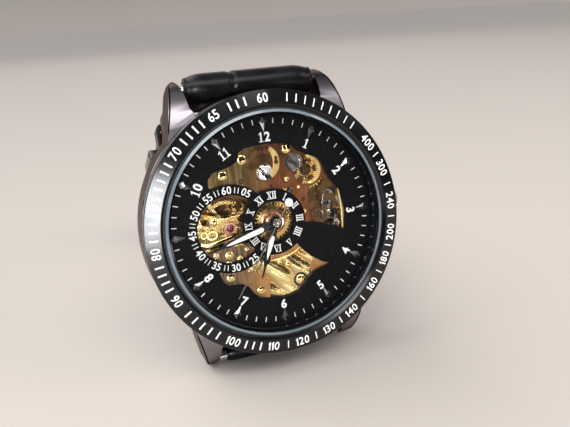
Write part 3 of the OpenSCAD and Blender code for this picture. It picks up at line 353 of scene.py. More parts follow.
def plain_gloss(name, colour, rough, patch=0.3, metallic=0.0, **sockets):
    """Paint, print or glass whose gloss varies in soft patches, as handled surfaces do."""
    finish = Finish(name, Base_Color=colour, Metallic=metallic, **sockets)
    patches = finish.patches(patch)
    shade = tuple(c * 0.82 for c in colour)
    finish.colour(finish.mixed(finish.ranged(patches, 0, 1), shade, colour))
    finish.roughness(finish.ranged(patches, *rough))
    return finish.material


def aged_plate(name, left, right, middle):
    """Dull plate brushed upright, from one pair of colours on the left to another on the right."""
    finish = Finish(name, Metallic=1.0)
    lines = finish.lines((2.4, 0.12, 2.4))
    patches = finish.patches(0.35)
    brushed = finish.mixed(finish.ranged(lines, 0, 1, 0.42, 0.66), *left)
    cloudy = finish.mixed(finish.ranged(patches, 0, 1), *right)
    across = finish.ranged(dial_place(finish)["X"], 0, 1, middle - 2.5, middle + 2.5)
    finish.colour(finish.mixed(across, brushed, cloudy))
    finish.roughness(finish.ranged(lines, 0.27, 0.36))
    finish.bump(lines, 0.08, HAIRLINE)
    return finish.material


# %% [markdown]
# ## Steel and gold
# Screws, wheels and springs are polished or finely brushed, so lines and patches are enough.
# Bridges that flash get broad ripples as a bump: they bend the reflections into streaks, where
# dents in the mesh would need many more faces. Their colour also runs from dark to light along the
# same ripples, a painted reflection of those streaks, and some screws and springs get it too.

# %% Steel and gold
ACROSS, ALONG, AROUND = (5.0, 0.2, 5.0), (0.2, 5.0, 5.0), (0.5, 0.5, 5.0)
SLANT, SHORT_WAVES, LONG_WAVES = math.radians(40), (0.3, 0.5, 0.3), (0.14, 0.6, 0.3)
steel = brushed_metal(
    "polished_steel", (0.6, 0.59, 0.6), (0.82, 0.81, 0.82), (0.1, 0.2), ACROSS, 0.03, 0.25, 0)
# The ripple steels and golds below have streaks of reflection painted into their colour.
screw_steel = rippled_metal(
    "screw_steel", (0.4, 0.39, 0.38), (0.9, 0.89, 0.87), (0.1, 0.2), SLANT, SHORT_WAVES)
spring_steel = rippled_metal(
    "spring_steel", (0.07, 0.066, 0.062), (0.42, 0.4, 0.38), (0.2, 0.32), SLANT, SHORT_WAVES)
dark_steel = brushed_metal(
    "dark_steel", (0.07, 0.06, 0.06), (0.13, 0.115, 0.115), (0.16, 0.3), AROUND, 0.03)
buckle_steel = brushed_metal(
    "buckle_steel", (0.05, 0.045, 0.043), (0.11, 0.1, 0.095), (0.16, 0.3), ALONG, 0.05)
mark_steel = brushed_metal(
    "mark_steel", (0.8, 0.8, 0.83), (0.95, 0.95, 0.97), (0.14, 0.24), ACROSS, 0.02, 0.5, 0)
blued = brushed_metal(
    "blued_spring", (0.07, 0.1, 0.28), (0.12, 0.2, 0.42), (0.15, 0.3), AROUND, 0.04)
# Painted streaks of reflection: dark brown to pale gold along the ripples.
gold = rippled_metal(
    "gold_plate", (0.4, 0.18, 0.03), (1.0, 0.84, 0.42), (0.22, 0.27), SLANT, LONG_WAVES, 0.0008)
base_gold = rippled_metal(
    "bridge_gold", (0.46, 0.24, 0.05), (1.0, 0.78, 0.36), (0.21, 0.28), 0.2, (0.3, 0.6, 0.4))
screw_gold = brushed_metal(
    "screw_gold", (0.88, 0.6, 0.2), (1.0, 0.82, 0.42), (0.08, 0.16), ACROSS, 0.02, 0.8, 0)
lip_gold = brushed_metal(
    "lip_gold", (0.85, 0.52, 0.12), (1.0, 0.84, 0.42), (0.3, 0.42), AROUND, 0.03, 0.5, 0)
gilt = brushed_metal(
    "gilt_wheels", (0.75, 0.47, 0.14), (0.95, 0.7, 0.3), (0.14, 0.3), AROUND, 0.03, 0.6, 0.1)
bronze = brushed_metal(
    "dark_bronze", (0.09, 0.05, 0.026), (0.25, 0.14, 0.06), (0.26, 0.45), ACROSS, 0.12, 0.5)
rose = brushed_metal(
    "rose_copper", (0.4, 0.19, 0.12), (0.72, 0.42, 0.3), (0.2, 0.3), AROUND, 0.02, 0.8, 0)
print("metals", len(bpy.data.materials))

# %% [markdown]
# ## Aged and striped plates
# The plates behind the dial have aged unevenly. Each finish runs from one pair of colours on the
# left to another on the right. The dial's own X blends them, so that no painted picture is needed.
# The wheel screws change from bronze to steel by height in the same way, and the plate seen from
# the back is ground in stripes, each painted lighter towards one side as a painted sheen.

# %% Aged and striped plates
OLIVE, RED = ((0.16, 0.1, 0.042), (0.36, 0.25, 0.11)), ((0.18, 0.06, 0.024), (0.34, 0.14, 0.06))
BROWN, ORANGE = ((0.1, 0.07, 0.043), (0.27, 0.19, 0.12)), ((0.3, 0.14, 0.05), (0.5, 0.28, 0.12))
copper = aged_plate("copper_plate", OLIVE, RED, -1.5)
lower_brown = aged_plate("lower_brown", BROWN, ORANGE, -5.0)
worn_plate = aged_plate("worn_plate", BROWN, RED, -3.0)


def wheel_screw_steel():
    """Grey steel on the tall head, and bronze on the low heads that sit inside the wheels."""
    finish = Finish("wheel_screw_steel", Metallic=1.0)
    lines = finish.lines((0.6, 3.0, 3.0), SLANT)
    tall = finish.ranged(dial_place(finish)["Z"], 0, 1, -0.8, -0.72)
    grey = finish.mixed(finish.ranged(lines, 0, 1), (0.16, 0.15, 0.14), (0.34, 0.33, 0.31))
    finish.colour(finish.mixed(tall, (0.13, 0.07, 0.035), grey))
    finish.roughness(finish.ranged(lines, 0.24, 0.34))
    return finish.material


STRIPE_HALF, STRIPE_TURN = 1.1, math.radians(-35)


def stripes():
    """Gold plate ground in straight bands, as a watchmaker decorates the back of a movement."""
    finish = Finish("striped_gold", Metallic=1.0)
    lines = finish.lines((6.0, 0.4, 6.0), STRIPE_TURN)
    around = {"Vector": dial_coordinates(finish.tree), "Angle": STRIPE_TURN}
    turned = add_node(finish.tree, "VectorRotate", around, rotation_type="Z_AXIS").outputs["Vector"]
    place = add_node(finish.tree, "SeparateXYZ", {"Vector": turned}).outputs
    band = finish.maths("PINGPONG", place["X"], STRIPE_HALF)
    rise = finish.ranged(band, 0, 1, 0, STRIPE_HALF)
    # Painted sheen: each band is painted from dark to light across its width, along the bump's
    # slope.
    finish.colour(finish.mixed(rise, (0.62, 0.4, 0.12), (0.9, 0.64, 0.26)))
    finish.roughness(finish.ranged(lines, 0.2, 0.3))
    finish.bump(band, 1.0, 0.00012)
    return finish.material


grey_steel, striped_gold = wheel_screw_steel(), stripes()
print("plates", copper.name, lower_brown.name, worn_plate.name, striped_gold.name)

# %% [markdown]
# ## Case
# The case is one solid with several finishes. Masks choose between them by the way a face looks and
# by its place on the dial, so the solid needs no cuts. Some of them paint light: a lilac reflection
# of the sky on faces that look out, shade in the seam under the bezel and a shadow line along the
# lugs.

# %% Case
# The gunmetal's brown is partly a painted reflection of a brown table in the flank.
GUNMETAL, GUNMETAL_LIGHT, PIT = (0.055, 0.042, 0.038), (0.1, 0.079, 0.072), (0.04, 0.03, 0.027)
# Painted light: the lilac stands for the sky's reflection on faces that look out, the seam colour
# for shade.
PAINTED_SKY_LILAC, PAINTED_SEAM_SHADE, TIP_DARK = (0.27, 0.245, 0.265), (0.012, 0.01, 0.01), (0.1, 0.085, 0.08)
LUG_SHADOW_LINE, LUG_FOOT = 18.74, 15.8


def case_steel():
    """Brown gunmetal, its brown partly a painted reflection of a brown table: brushed and pitted on
    the flank; polished, with a painted lilac reflection of the sky, on faces that look out of the
    dial;
    painted shade in the seam under the bezel; a painted shadow line along the lugs' outer edge; and
    dark lug tips."""
    finish = Finish("case_steel", Metallic=1.0, Specular_Tint=(0.66, 0.56, 0.53))
    lines = finish.lines(AROUND)
    patches = finish.patches(0.12)
    pits = finish.effect("small_pits", "Pits", Scale=2.6, Amount=0.3)
    normal = add_node(finish.tree, "TexCoord").outputs["Normal"]
    ways = {0: normal, 1: TILT.to_3x3() @ Vector((0, 0, 1))}
    facing = add_node(finish.tree, "VectorMath", ways, operation="DOT_PRODUCT").outputs["Value"]
    top = finish.ranged(facing, 0, 1, 0.3, 0.5)
    place = dial_place(finish)
    x, y = (finish.maths("ABSOLUTE", place[axis]) for axis in "XY")
    # A painted shadow line along the lugs' outer edge, on their top faces only.
    edge = finish.maths("COMPARE", finish.maths("MULTIPLY_ADD", y, 0.25, x), LUG_SHADOW_LINE, 0.12)
    on_lug = finish.maths("MULTIPLY", finish.maths("GREATER_THAN", y, LUG_FOOT), top)
    line = finish.maths("MULTIPLY", edge, on_lug)
    # Top faces inside the bezel's seam get painted shade, outside it the painted lilac reflection.
    squares = finish.maths("MULTIPLY_ADD", x, x, finish.maths("MULTIPLY", y, y))
    outside = finish.ranged(finish.maths("SQRT", squares), 0, 1, 20.75, 20.95)
    flank = finish.mixed(finish.ranged(patches, 0, 1), GUNMETAL, GUNMETAL_LIGHT)
    worn = finish.mixed(pits, flank, PIT)
    flank_or_painted_top = finish.mixed(top, worn, finish.mixed(outside, PAINTED_SEAM_SHADE, PAINTED_SKY_LILAC))
    tipped = finish.mixed(finish.ranged(y, 0, 0.85, 21.6, 22.4), flank_or_painted_top, TIP_DARK)
    # The painted shadow line goes on last, nearly black.
    finish.colour(finish.mixed(line, tipped, (0.004, 0.004, 0.004)))
    brushed = finish.maths("MULTIPLY", lines, finish.ranged(facing, 1, 0, 0.3, 0.5))
    smooth = finish.ranged(facing, 0.24, 0.31, 0.3, 0.5)
    rough = finish.maths("MULTIPLY_ADD", brushed, 0.12, smooth)
    finish.roughness(finish.maths("MULTIPLY_ADD", line, 0.4, rough))
    finish.bump(brushed, 0.06, HAIRLINE)
    return finish.material


gunmetal = case_steel()
print("case finish", gunmetal.name)

# %% [markdown]
# ## Paint, print, glass and leather
# Lacquer, print and pale inlays differ mostly in gloss, so one builder makes them all. The glass is
# nearly clear and has no gloss of its own, which keeps the dial readable. Leather has its own
# finish, with a grain of small cells as a bump.

# %% Paint, print, glass and leather
INK = (0.004, 0.004, 0.005)
bezel_black = plain_gloss("bezel_black", INK, (0.11, 0.2), 0.2, Specular_IOR_Level=0.42)
dial_black = plain_gloss("dial_black", INK, (0.42, 0.58), 0.5, Specular_IOR_Level=0.06)
flange_black = plain_gloss("flange_black", INK, (0.03, 0.07), 0.4, Specular_IOR_Level=0.5)
hand_black = plain_gloss(
    "hand_black", (0.008, 0.008, 0.008), (0.12, 0.24), 0.6, Specular_IOR_Level=0.15)
hand_grey = plain_gloss("hand_grey", (0.2, 0.18, 0.16), (0.3, 0.4), 0.6, 0.6)
white_print = plain_gloss("white_print", (0.86, 0.86, 0.84), (0.4, 0.55), 1.5)
lume = plain_gloss("lume_white", (0.88, 0.9, 0.86), (0.5, 0.65), 2.0)
gasket_black = plain_gloss("gasket_black", (0.01, 0.01, 0.011), (0.5, 0.65), 1.0)
# Dark for engraved lines, and for painted shade in holes, slots and the big screw's slot.
engraved = plain_gloss("engraving_and_painted_shade", (0.02, 0.012, 0.008), (0.4, 0.6), 1.0)
holder_black = plain_gloss("holder_plastic", (0.02, 0.02, 0.02), (0.45, 0.6), 0.8)
ruby = plain_gloss("ruby", (0.12, 0.001, 0.016), (0.03, 0.08), 1.0, Coat_Weight=1.0)
crystal_glass = plain_gloss(
    "crystal_glass", (0.02, 0.021, 0.024), (0.02, 0.05), 0.25, Alpha=0.05, Specular_IOR_Level=0.0)
# The crystal's edge ring: pale blue-grey, a painted reflection of the light in its bevel.
crystal_edge = plain_gloss(
    "crystal_edge", (0.15, 0.19, 0.225), (0.16, 0.3), 0.6, Coat_Weight=0.5)


def strap_leather():
    gloss = {"Coat_Weight": 0.08, "Coat_Roughness": 0.12, "Specular_IOR_Level": 0.13}
    finish = Finish("strap_leather", **gloss)
    height = finish.effect("leather_grain", "Height", Scale=1.0)
    creases = finish.effect("leather_grain", "Creases", Scale=1.0)
    worn = finish.ranged(creases, 0, 1)
    finish.colour(finish.mixed(worn, (0.003, 0.003, 0.003), (0.009, 0.008, 0.009)))
    finish.roughness(finish.ranged(creases, 0.3, 0.38))
    finish.bump(height, 0.16, 0.00008)
    return finish.material


leather = strap_leather()
print("finishes", len(bpy.data.materials))

# %% [markdown]
# ## Solids that stay
# Most solids already have their final shape and only need a finish. The others are replaced below.

# %% Finishes for the solids that stay
STAYING = {
    gunmetal: "case_back crown",
    dark_steel: "bezel_ring",
    grey_steel: "wheel_screws",
    steel: "case_tube back_screws spring_bars stem winding_pinion sliding_pinion "
    "click click_spring barrel_arbor cannon_pinion escape_wheel pallet_fork",
    spring_steel: "setting_lever yoke",
    screw_steel: "ratchet_screw",
    bezel_black: "bezel_insert",
    crystal_glass: "crystal back_glass",
    gasket_black: "crystal_gasket",
    flange_black: "dial_flange",
    dial_black: "dial roman_ring",
    holder_black: "movement_holder",
    gold: "lower_bridge",
    striped_gold: "main_plate",
    base_gold: "balance_bridge pallet_bridge",
    bronze: "front_bridge crown_wheel idler_wheel",
    copper: "cover_plate ratchet_wheel",
    gilt: "barrel_drum barrel_cover inter_wheel second_wheel third_wheel fourth_wheel "
    "balance_wheel minute_wheel hour_wheel",
    ruby: "jewels",
    blued: "hairspring mainspring",
    hand_black: "hour_hand minute_hand",
    hand_grey: "seconds_hand",
}
for finish, names in STAYING.items():
    for name in names.split():
        nodes[name].data.materials.clear()
        nodes[name].data.materials.append(finish)
print("finished solids", sum(len(n.split()) for n in STAYING.values()))

# %% [markdown]
# ## Helpers for new pieces
# A new piece is drawn in dial millimetres, then settle() stands it up, puts its place in its mesh
# and lets it ride on a body of the watch.


# %% Piece helpers
def select_only(*objects):
    bpy.ops.object.select_all(action="DESELECT")
    for o in objects:
        o.select_set(True)
    bpy.context.view_layer.objects.active = objects[0]


@contextmanager
def edit_mode(piece):
    """Edit mode on one piece, with all of it selected."""
    select_only(piece)
    bpy.ops.object.mode_set(mode="EDIT")
    bpy.ops.mesh.select_all(action="SELECT")
    yield
    bpy.ops.object.mode_set(mode="OBJECT")


def apply_place(piece):
    """Puts a piece's place, turn and scale in its mesh."""
    select_only(piece)
    bpy.ops.object.transform_apply(location=True, rotation=True, scale=True)
    return piece


def settle(piece, name, body, material, matrix=DIAL):
    """Finishes a piece: its place in the watch, name, material and body."""
    select_only(piece)
    piece.matrix_world = matrix @ piece.matrix_world
    apply_place(piece)
    piece.name = piece.data.name = name
    piece.data.materials.clear()
    piece.data.materials.append(material)
    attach(piece, body)
    return piece


def joined(objects):
    select_only(*objects)
    bpy.ops.object.join()
    return bpy.context.object


def apply_modifier(piece, kind, **settings):
    select_only(piece)
    modifier = piece.modifiers.new(kind.lower(), kind)
    for key, value in settings.items():
        setattr(modifier, key, value)
    bpy.ops.object.modifier_apply(modifier=modifier.name)
    return piece


def flat_shape(outlines, thickness):
    """Flat outlines, each a ring of points, made solid upwards from their plane."""
    points, faces = [], []
    for ring in outlines:
        faces.append(range(len(points), len(points) + len(ring)))
        points += [(x, y, 0) for x, y in ring]
    mesh = bpy.data.meshes.new("outline")
    mesh.from_pydata(points, [], [tuple(f) for f in faces])
    piece = linked("outline", mesh)
    with edit_mode(piece):
        bpy.ops.mesh.remove_doubles(threshold=0.0001)
        bpy.ops.mesh.extrude_region_move(TRANSFORM_OT_translate={"value": (0, 0, thickness)})
        bpy.ops.mesh.select_all(action="SELECT")
        bpy.ops.mesh.normals_make_consistent(inside=False)
    return piece


# %% [markdown]
# ## Figures
# The printed figures are generic numerals. Digits come from Blender's own typeface, except the 1,
# which gets a flag and a foot as on the dial. Roman figures are built from thick and thin strokes.

# %% Figures
PRINT_T = 0.025
ONE = [(0.0, 0.0), (0.5, 0.0), (0.5, 0.09), (0.34, 0.09), (0.34, 1.0), (0.24, 1.0), (0.02, 0.82)]
ONE += [(0.02, 0.72), (0.17, 0.8), (0.17, 0.09), (0.0, 0.09)]
ONE_PLAIN = [(0.1, 0.0), (0.3, 0.0), (0.3, 1.0), (0.2, 1.0), (0.0, 0.8), (0.0, 0.68), (0.1, 0.76)]


def digit(character, weight, foot):
    """One digit, one unit tall, with its left edge at zero."""
    if character == "1":
        return flat_shape([ONE if foot else ONE_PLAIN], PRINT_T)
    bpy.ops.object.text_add()
    text = bpy.context.object
    text.data.body = character
    text.data.offset = weight
    text.data.resolution_u = 4
    text.data.extrude = PRINT_T / 2
    bpy.ops.object.convert(target="MESH")
    text = bpy.context.object
    xs, ys = [v.co.x for v in text.data.vertices], [v.co.y for v in text.data.vertices]
    fit = 1 / (max(ys) - min(ys))
    for v in text.data.vertices:
        v.co.x, v.co.y = (v.co.x - min(xs)) * fit, (v.co.y - min(ys)) * fit
        v.co.z += PRINT_T / 2
    return text


def number(text, height, squeeze=0.95, weight=0.02, gap=0.12, foot=True):
    """A row of digits, centred, height millimetres tall."""
    parts, x = [], 0.0
    for character in text:
        part = digit(character, weight, foot)
        width = max(v.co.x for v in part.data.vertices)
        for v in part.data.vertices:
            v.co.x, v.co.y = (v.co.x + x) * squeeze, v.co.y - 0.5
        x += width + gap
        parts.append(part)
    piece = joined(parts)
    middle = (x - gap) * squeeze / 2
    for v in piece.data.vertices:
        v.co.x, v.co.y = (v.co.x - middle) * height, v.co.y * height
    return piece


def bar(x0, y0, x1, y1, width):
    """A straight stroke between two points, cut level at both ends."""
    return [(x0 - width / 2, y0), (x0 + width / 2, y0), (x1 + width / 2, y1), (x1 - width / 2, y1)]


THICK, THIN, SERIF = 0.16, 0.07, 0.07
ROMAN_WIDTHS, ROMAN_SQUEEZE = {"I": 0.34, "V": 0.8, "X": 0.8}, 0.9
STROKE_STEP = 0.0015


def roman(text, height):
    """A Roman figure from strokes with flat serifs, centred, height millimetres tall."""
    rings, x = [], 0.0
    for character in text:
        w = ROMAN_WIDTHS[character]
        if character == "I":
            rings.append(bar(x + w / 2, 0, x + w / 2, 1, THICK))
        elif character == "V":
            rings.append(bar(x + 0.12, 1, x + w / 2, 0, THICK)[::-1])
            rings.append(bar(x + w / 2, 0, x + w - 0.1, 1, THIN))
        else:
            rings.append(bar(x + w - 0.12, 0, x + 0.12, 1, THICK))
            rings.append(bar(x + 0.1, 0, x + w - 0.1, 1, THIN))
        x += w
    rings.append([(0, 1 - SERIF), (x, 1 - SERIF), (x, 1), (0, 1)])
    if text[-1] != "V":
        left = 0.6 if text[0] == "V" else 0
        rings.append([(left, 0), (x, 0), (x, SERIF), (left, SERIF)])
    wide = height * ROMAN_SQUEEZE
    rings = [[((px - x / 2) * wide, (py - 0.5) * height) for px, py in ring] for ring in rings]
    # Each stroke is a hair taller than the last, so that crossing strokes share no face.
    return joined([flat_shape([r], PRINT_T + STROKE_STEP * i) for i, r in enumerate(rings)])


def print_on(piece, place, turned, slope=0.0, outward=0.0):
    """Lays a figure on the dial or on the bezel's slope, turned by degrees anticlockwise."""
    lean = Matrix.Rotation(math.radians(-outward), 4, "Z") @ Matrix.Rotation(-slope, 4, "X")
    lean @= Matrix.Rotation(math.radians(turned + outward), 4, "Z")
    piece.matrix_world = Matrix.Translation(place) @ lean
    return apply_place(piece)


def turned_for(angle, outward):
    """Turn of a figure whose top points outwards or inwards at that clockwise angle."""
    return -angle if outward else 180 - angle


def stroke(half, reach):
    """A plain printed stroke, by half its width and half its length."""
    return flat_shape([[(-half, -reach), (half, -reach), (half, reach), (-half, reach)]], PRINT_T)


# %% Dial hours
LIFT, HOUR_TALL, TICKS_R = 0.004, 1.55, 16.17
LOWER_HOURS = (4, 5, 6, 7, 8)
HOURS = {12: (0, 13.7), 1: (6.9, 11.8), 2: (11.8, 6.8), 3: (13.6, -0.2), 4: (12, -7)}
HOURS |= {5: (6.8, -12), 6: (0, -13.8), 7: (-6.6, -12), 8: (-11.8, -7), 10: (-11.8, 7)}
HOURS |= {11: (-6.8, 11.9)}
figures = []
for hour, (x, y) in HOURS.items():
    turned = turned_for(hour * 30, hour not in LOWER_HOURS)
    mark = number(str(hour), HOUR_TALL, weight=0.03)
    figures.append(print_on(mark, Vector((x, y, LIFT)), turned))
for minute in range(60):
    if minute % 5:
        place = at_angle(minute * 6, TICKS_R, LIFT)
        figures.append(print_on(stroke(0.07, 0.4), place, -minute * 6))
settle(joined(figures), "dial_figures", "watch", white_print)
print("dial hours", len(HOURS), "ticks", len(figures) - len(HOURS))

# %% Seconds ring
RING_X, RING_R, SECOND_TALL = -7.2, 6.22, 1.22
RING = Vector((RING_X, 0, LIFT))
figures = []
for second in (5, 25, 30, 35, 40, 45, 50, 55, 60):
    turned = turned_for(second * 6, second not in (25, 30, 35, 40))
    mark = number(f"{second:02d}", SECOND_TALL, squeeze=0.92, weight=0.012, foot=False)
    figures.append(print_on(mark, RING + at_angle(second * 6, RING_R), turned))
for second in range(25, 65, 5):
    for after in (2.05, 2.95):
        angle = (second + after) * 6
        figures.append(print_on(stroke(0.06, 0.45), RING + at_angle(angle, RING_R), -angle))
settle(joined(figures), "seconds_figures", "watch", white_print)
print("seconds ring", len(figures), "figures and ticks")

# %% Roman ring
ROMANS = "XII I II III IIII V VI VII VIII IX X XI".split()
ROMAN_R, ROMAN_TOP, ROMAN_TALL = 4.38, 0.12, 1.2
figures = []
for hour, text in enumerate(ROMANS):
    turned = turned_for(hour * 30, hour not in LOWER_HOURS)
    place = at_angle(hour * 30, ROMAN_R, ROMAN_TOP + LIFT)
    figures.append(print_on(roman(text, ROMAN_TALL), place, turned))
settle(joined(figures), "roman_figures", "watch", white_print)
print("roman figures", len(figures))

# %% [markdown]
# ## Bezel scale
# The black insert carries a speed scale. Its figures are spaced as on the watch, by the clockwise
# angle that stands beside each, and lie on the slope of the insert. Groups of plain strokes fill
# the gaps, and a row of them fills the upper right, where the scale needs no figures.

# %% Bezel scale
SLOPE, BAND_R = math.radians(11), 19.7
RIM_R, RIM_Z, CLEAR = 21, 2.65, 0.003
BAND_Z = RIM_Z + (RIM_R - BAND_R) * math.tan(SLOPE) + CLEAR
SPEEDS = {400: 56.6, 300: 71.1, 240: 87.8, 200: 103.4, 180: 116.6, 160: 130.7, 140: 147.1}
SPEEDS |= {130: 161.1, 120: 175.6, 110: 190.1, 100: 210.2, 90: 243.5, 80: 266.6, 75: 289.1}
SPEEDS |= {70: 311.5, 65: 334.8, 60: 358.5}
STROKES = {110: 3, 100: 5, 90: 4, 80: 4, 75: 4, 70: 4, 65: 3}
PLAIN_ROW = [10 + 4.4 * k for k in range(9)]


def on_band(piece, angle, outward=True):
    """Lays a figure on the insert's slope, with its top out or in."""
    place = at_angle(angle, BAND_R, BAND_Z)
    return print_on(piece, place, turned_for(angle, outward), SLOPE, angle)


SPEED_TALL, BROAD, NARROW, REACH = 1.45, 0.13, 0.09, 0.68
figures = []
for speed, angle in SPEEDS.items():
    tops_out = not 85 < speed < 220
    mark = number(str(speed), SPEED_TALL, squeeze=0.85, weight=0.014, gap=0.14, foot=False)
    figures.append(on_band(mark, angle, tops_out))
angles = list(SPEEDS.values())
for speed, a0, a1 in zip(SPEEDS, angles, angles[1:]):
    count = STROKES.get(speed, 1)
    apart = 4.4 if count == 5 else 3.65
    for k in range(count):
        angle = (a0 + a1) / 2 + apart * (k - (count - 1) / 2)
        figures.append(on_band(stroke(BROAD if count > 1 else NARROW, REACH), angle))
figures += [on_band(stroke(NARROW, REACH), angle) for angle in PLAIN_ROW]
settle(joined(figures), "bezel_figures", "watch", white_print)
print("bezel figures", len(SPEEDS), "strokes", len(figures) - len(SPEEDS))

# %% [markdown]
# ## Hands
# The hands are black leaves with a pale inlay that stands a hair above the metal. Each inlay rides
# with its hand. The seconds hand has a pale round counterweight.

# %% Hand inlays
SHOWN_HOUR, SHOWN_MINUTE, SHOWN_SECOND = 201.3, 255.6, 216.0
INLAY_T, DOT_R, DOT_Z = 0.05, 3.75, 1.875


def inlay(name, body, angle, start, stop, width, height):
    """A long pale inlay, rounded at the root and pointed at the tip."""
    half, widest, shoulder = width / 2, stop - (stop - start) * 0.62, stop - 0.9
    ring = [(0.0, stop), (-half * 0.55, shoulder), (-half, widest)]
    for i in range(9):
        t = i * math.pi / 8
        ring.append((-half * math.cos(t), start + half - half * math.sin(t)))
    ring += [(half, widest), (half * 0.55, shoulder)]
    piece = flat_shape([ring], INLAY_T)
    apply_modifier(piece, "BEVEL", width=0.02, segments=2, limit_method="ANGLE")
    turn = Matrix.Rotation(math.radians(-angle), 4, "Z")
    piece.matrix_world = turn @ Matrix.Translation((0, 0, height))
    return settle(piece, name, body, lume)


inlay("hour_inlay", "hours", SHOWN_HOUR, start=2.19, stop=6.2, width=0.78, height=0.85)
inlay("minute_inlay", "minutes", SHOWN_MINUTE, start=2.39, stop=9.0, width=0.78, height=1.35)
bpy.ops.mesh.primitive_cylinder_add(vertices=48, radius=0.66, depth=INLAY_T)
dot = bpy.context.object
apply_modifier(dot, "BEVEL", width=0.02, segments=2, limit_method="ANGLE")
dot.matrix_world = Matrix.Translation(at_angle(SHOWN_SECOND + 180, DOT_R, DOT_Z))
settle(dot, "seconds_dot", "seconds", lume)
print("hands inlaid")

# %% [markdown]
# ## Hour marks
# The hour marks are polished kites that rise to a point, so that each catches the light on one
# side and stays dark on the other. Each starts as a flat kite, and Poke raises its upper face.

# %% Hour marks
MARK_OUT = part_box("hour_marks")[1].x / MM
MARK_LEN, MARK_HALF, MARK_BASE, MARK_RISE = 2.3, 0.58, 0.1, 0.34
WIDEST = MARK_OUT - 0.6
KITE = [(0, MARK_OUT - MARK_LEN), (MARK_HALF, WIDEST), (0, MARK_OUT), (-MARK_HALF, WIDEST)]
kites = []
for hour in range(12):
    piece = flat_shape([KITE], MARK_BASE)
    select_only(piece)
    bpy.ops.object.mode_set(mode="EDIT")
    bpy.ops.mesh.select_all(action="DESELECT")
    bpy.ops.object.mode_set(mode="OBJECT")
    for face in piece.data.polygons:
        face.select = face.normal.z > 0.9
    bpy.ops.object.mode_set(mode="EDIT")
    bpy.ops.mesh.select_mode(type="FACE")
    bpy.ops.mesh.poke(offset=MARK_RISE)
    bpy.ops.object.mode_set(mode="OBJECT")
    kites.append(print_on(piece, Vector((0, 0, 0.001)), -hour * 30))
marks = settle(joined(kites), "hour_kites", "watch", mark_steel)
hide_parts("hour_marks")
print("hour marks", len(kites), "out to", round(MARK_OUT, 2), "mm")

# %% [markdown]
# ## Small parts of the movement
# Rivets, settings and the dish under the hands are round, so each is a half outline spun about its
# own axis. Lips, springs and thin plates are outlines made solid. All of them stay below the dial
# and lie on the plate that carries them.

# %% Round and flat part helpers
ROUNDED = math.radians(40)


def turned_piece(profile, place, steps=32):
    """A round part from its half outline of (radius, height) points, closed on the axis."""
    mesh = bpy.data.meshes.new("profile")
    ends = [(i, i + 1) for i in range(len(profile) - 1)]
    mesh.from_pydata([(r, 0, z) for r, z in profile], ends, [])
    piece = linked("profile", mesh)
    with edit_mode(piece):
        bpy.ops.mesh.spin(steps=steps, angle=2 * math.pi, center=(0, 0, 0), axis=(0, 0, 1))
        bpy.ops.mesh.select_all(action="SELECT")
        bpy.ops.mesh.remove_doubles(threshold=0.001)
        bpy.ops.mesh.normals_make_consistent(inside=False)
    bpy.ops.object.shade_smooth_by_angle(angle=ROUNDED)
    return print_on(piece, Vector(place), 0)


def rivet(x, y, radius, foot, rise=0.14):
    """A domed head inside a low rim."""
    r = radius
    profile = [(0, rise), (r * 0.4, rise * 0.94), (r * 0.64, rise * 0.66), (r * 0.74, rise * 0.2)]
    profile += [(r * 0.84, rise * 0.3), (r * 0.95, rise * 0.28), (r, 0.0), (r, -0.04), (0, -0.04)]
    return turned_piece(profile, (x, y, foot), 24)


def ring_profile(inner, outer, low, high):
    """Half outline of a ring with a rounded top."""
    edge = min(0.08, (outer - inner) * 0.3)
    points = [(inner, low), (inner, high - edge), (inner + edge, high), (outer - edge, high)]
    return points + [(outer, high - edge), (outer, low), (inner, low)]


def arc_band(centre, inner, outer, start, stop, steps=24):
    """Outline of part of a ring: angles run anticlockwise from X, and the ends are pointed."""
    rings = [[], []]
    for i in range(steps + 1):
        a = math.radians(start + (stop - start) * i / steps)
        thin = math.sin(math.pi * (0.12 + 0.76 * i / steps)) ** 0.6
        for ring, r in zip(rings, (outer, outer - (outer - inner) * thin)):
            ring.append((centre[0] + r * math.cos(a), centre[1] + r * math.sin(a)))
    return rings[0] + rings[1][::-1]


def solid(outlines, low, high, bevel=0.05):
    """Outlines made solid between two heights, with softened edges."""
    piece = flat_shape(outlines, high - low)
    if bevel:
        edges = {"limit_method": "ANGLE", "angle_limit": 0.8}
        apply_modifier(piece, "BEVEL", width=bevel, segments=2, **edges)
    return print_on(piece, Vector((0, 0, low)), 0)


def strip(points, width):
    """Outline of a flat strip that follows points."""
    left, right = [], []
    for i, p in enumerate(points):
        a, b = Vector(points[max(i - 1, 0)]), Vector(points[min(i + 1, len(points) - 1)])
        side = (b - a).normalized().orthogonal() * width / 2
        left.append(tuple(Vector(p) + side))
        right.append(tuple(Vector(p) - side))
    return left + right[::-1]


def toothed_ring(centre, inner, root, tip, count):
    """Faces of a ring with pointed teeth outside."""
    edge = []
    for k in range(count):
        for part, r in ((0.0, root), (0.3, root), (0.45, tip), (0.6, tip), (0.75, root)):
            a = 2 * math.pi * (k + part) / count
            edge.append((Vector((math.cos(a), math.sin(a))), r))
    middle = Vector(centre)
    faces = []
    for (d0, r0), (d1, r1) in zip(edge, edge[1:] + edge[:1]):
        faces.append([tuple(middle + q) for q in (d0 * inner, d0 * r0, d1 * r1, d1 * inner)])
    return faces


def cut_away(piece, tool):
    """Takes a tool's shape out of a piece, and the tool out of the scene."""
    apply_modifier(piece, "BOOLEAN", object=tool, operation="DIFFERENCE", solver="EXACT")
    bpy.data.objects.remove(tool)
    return piece


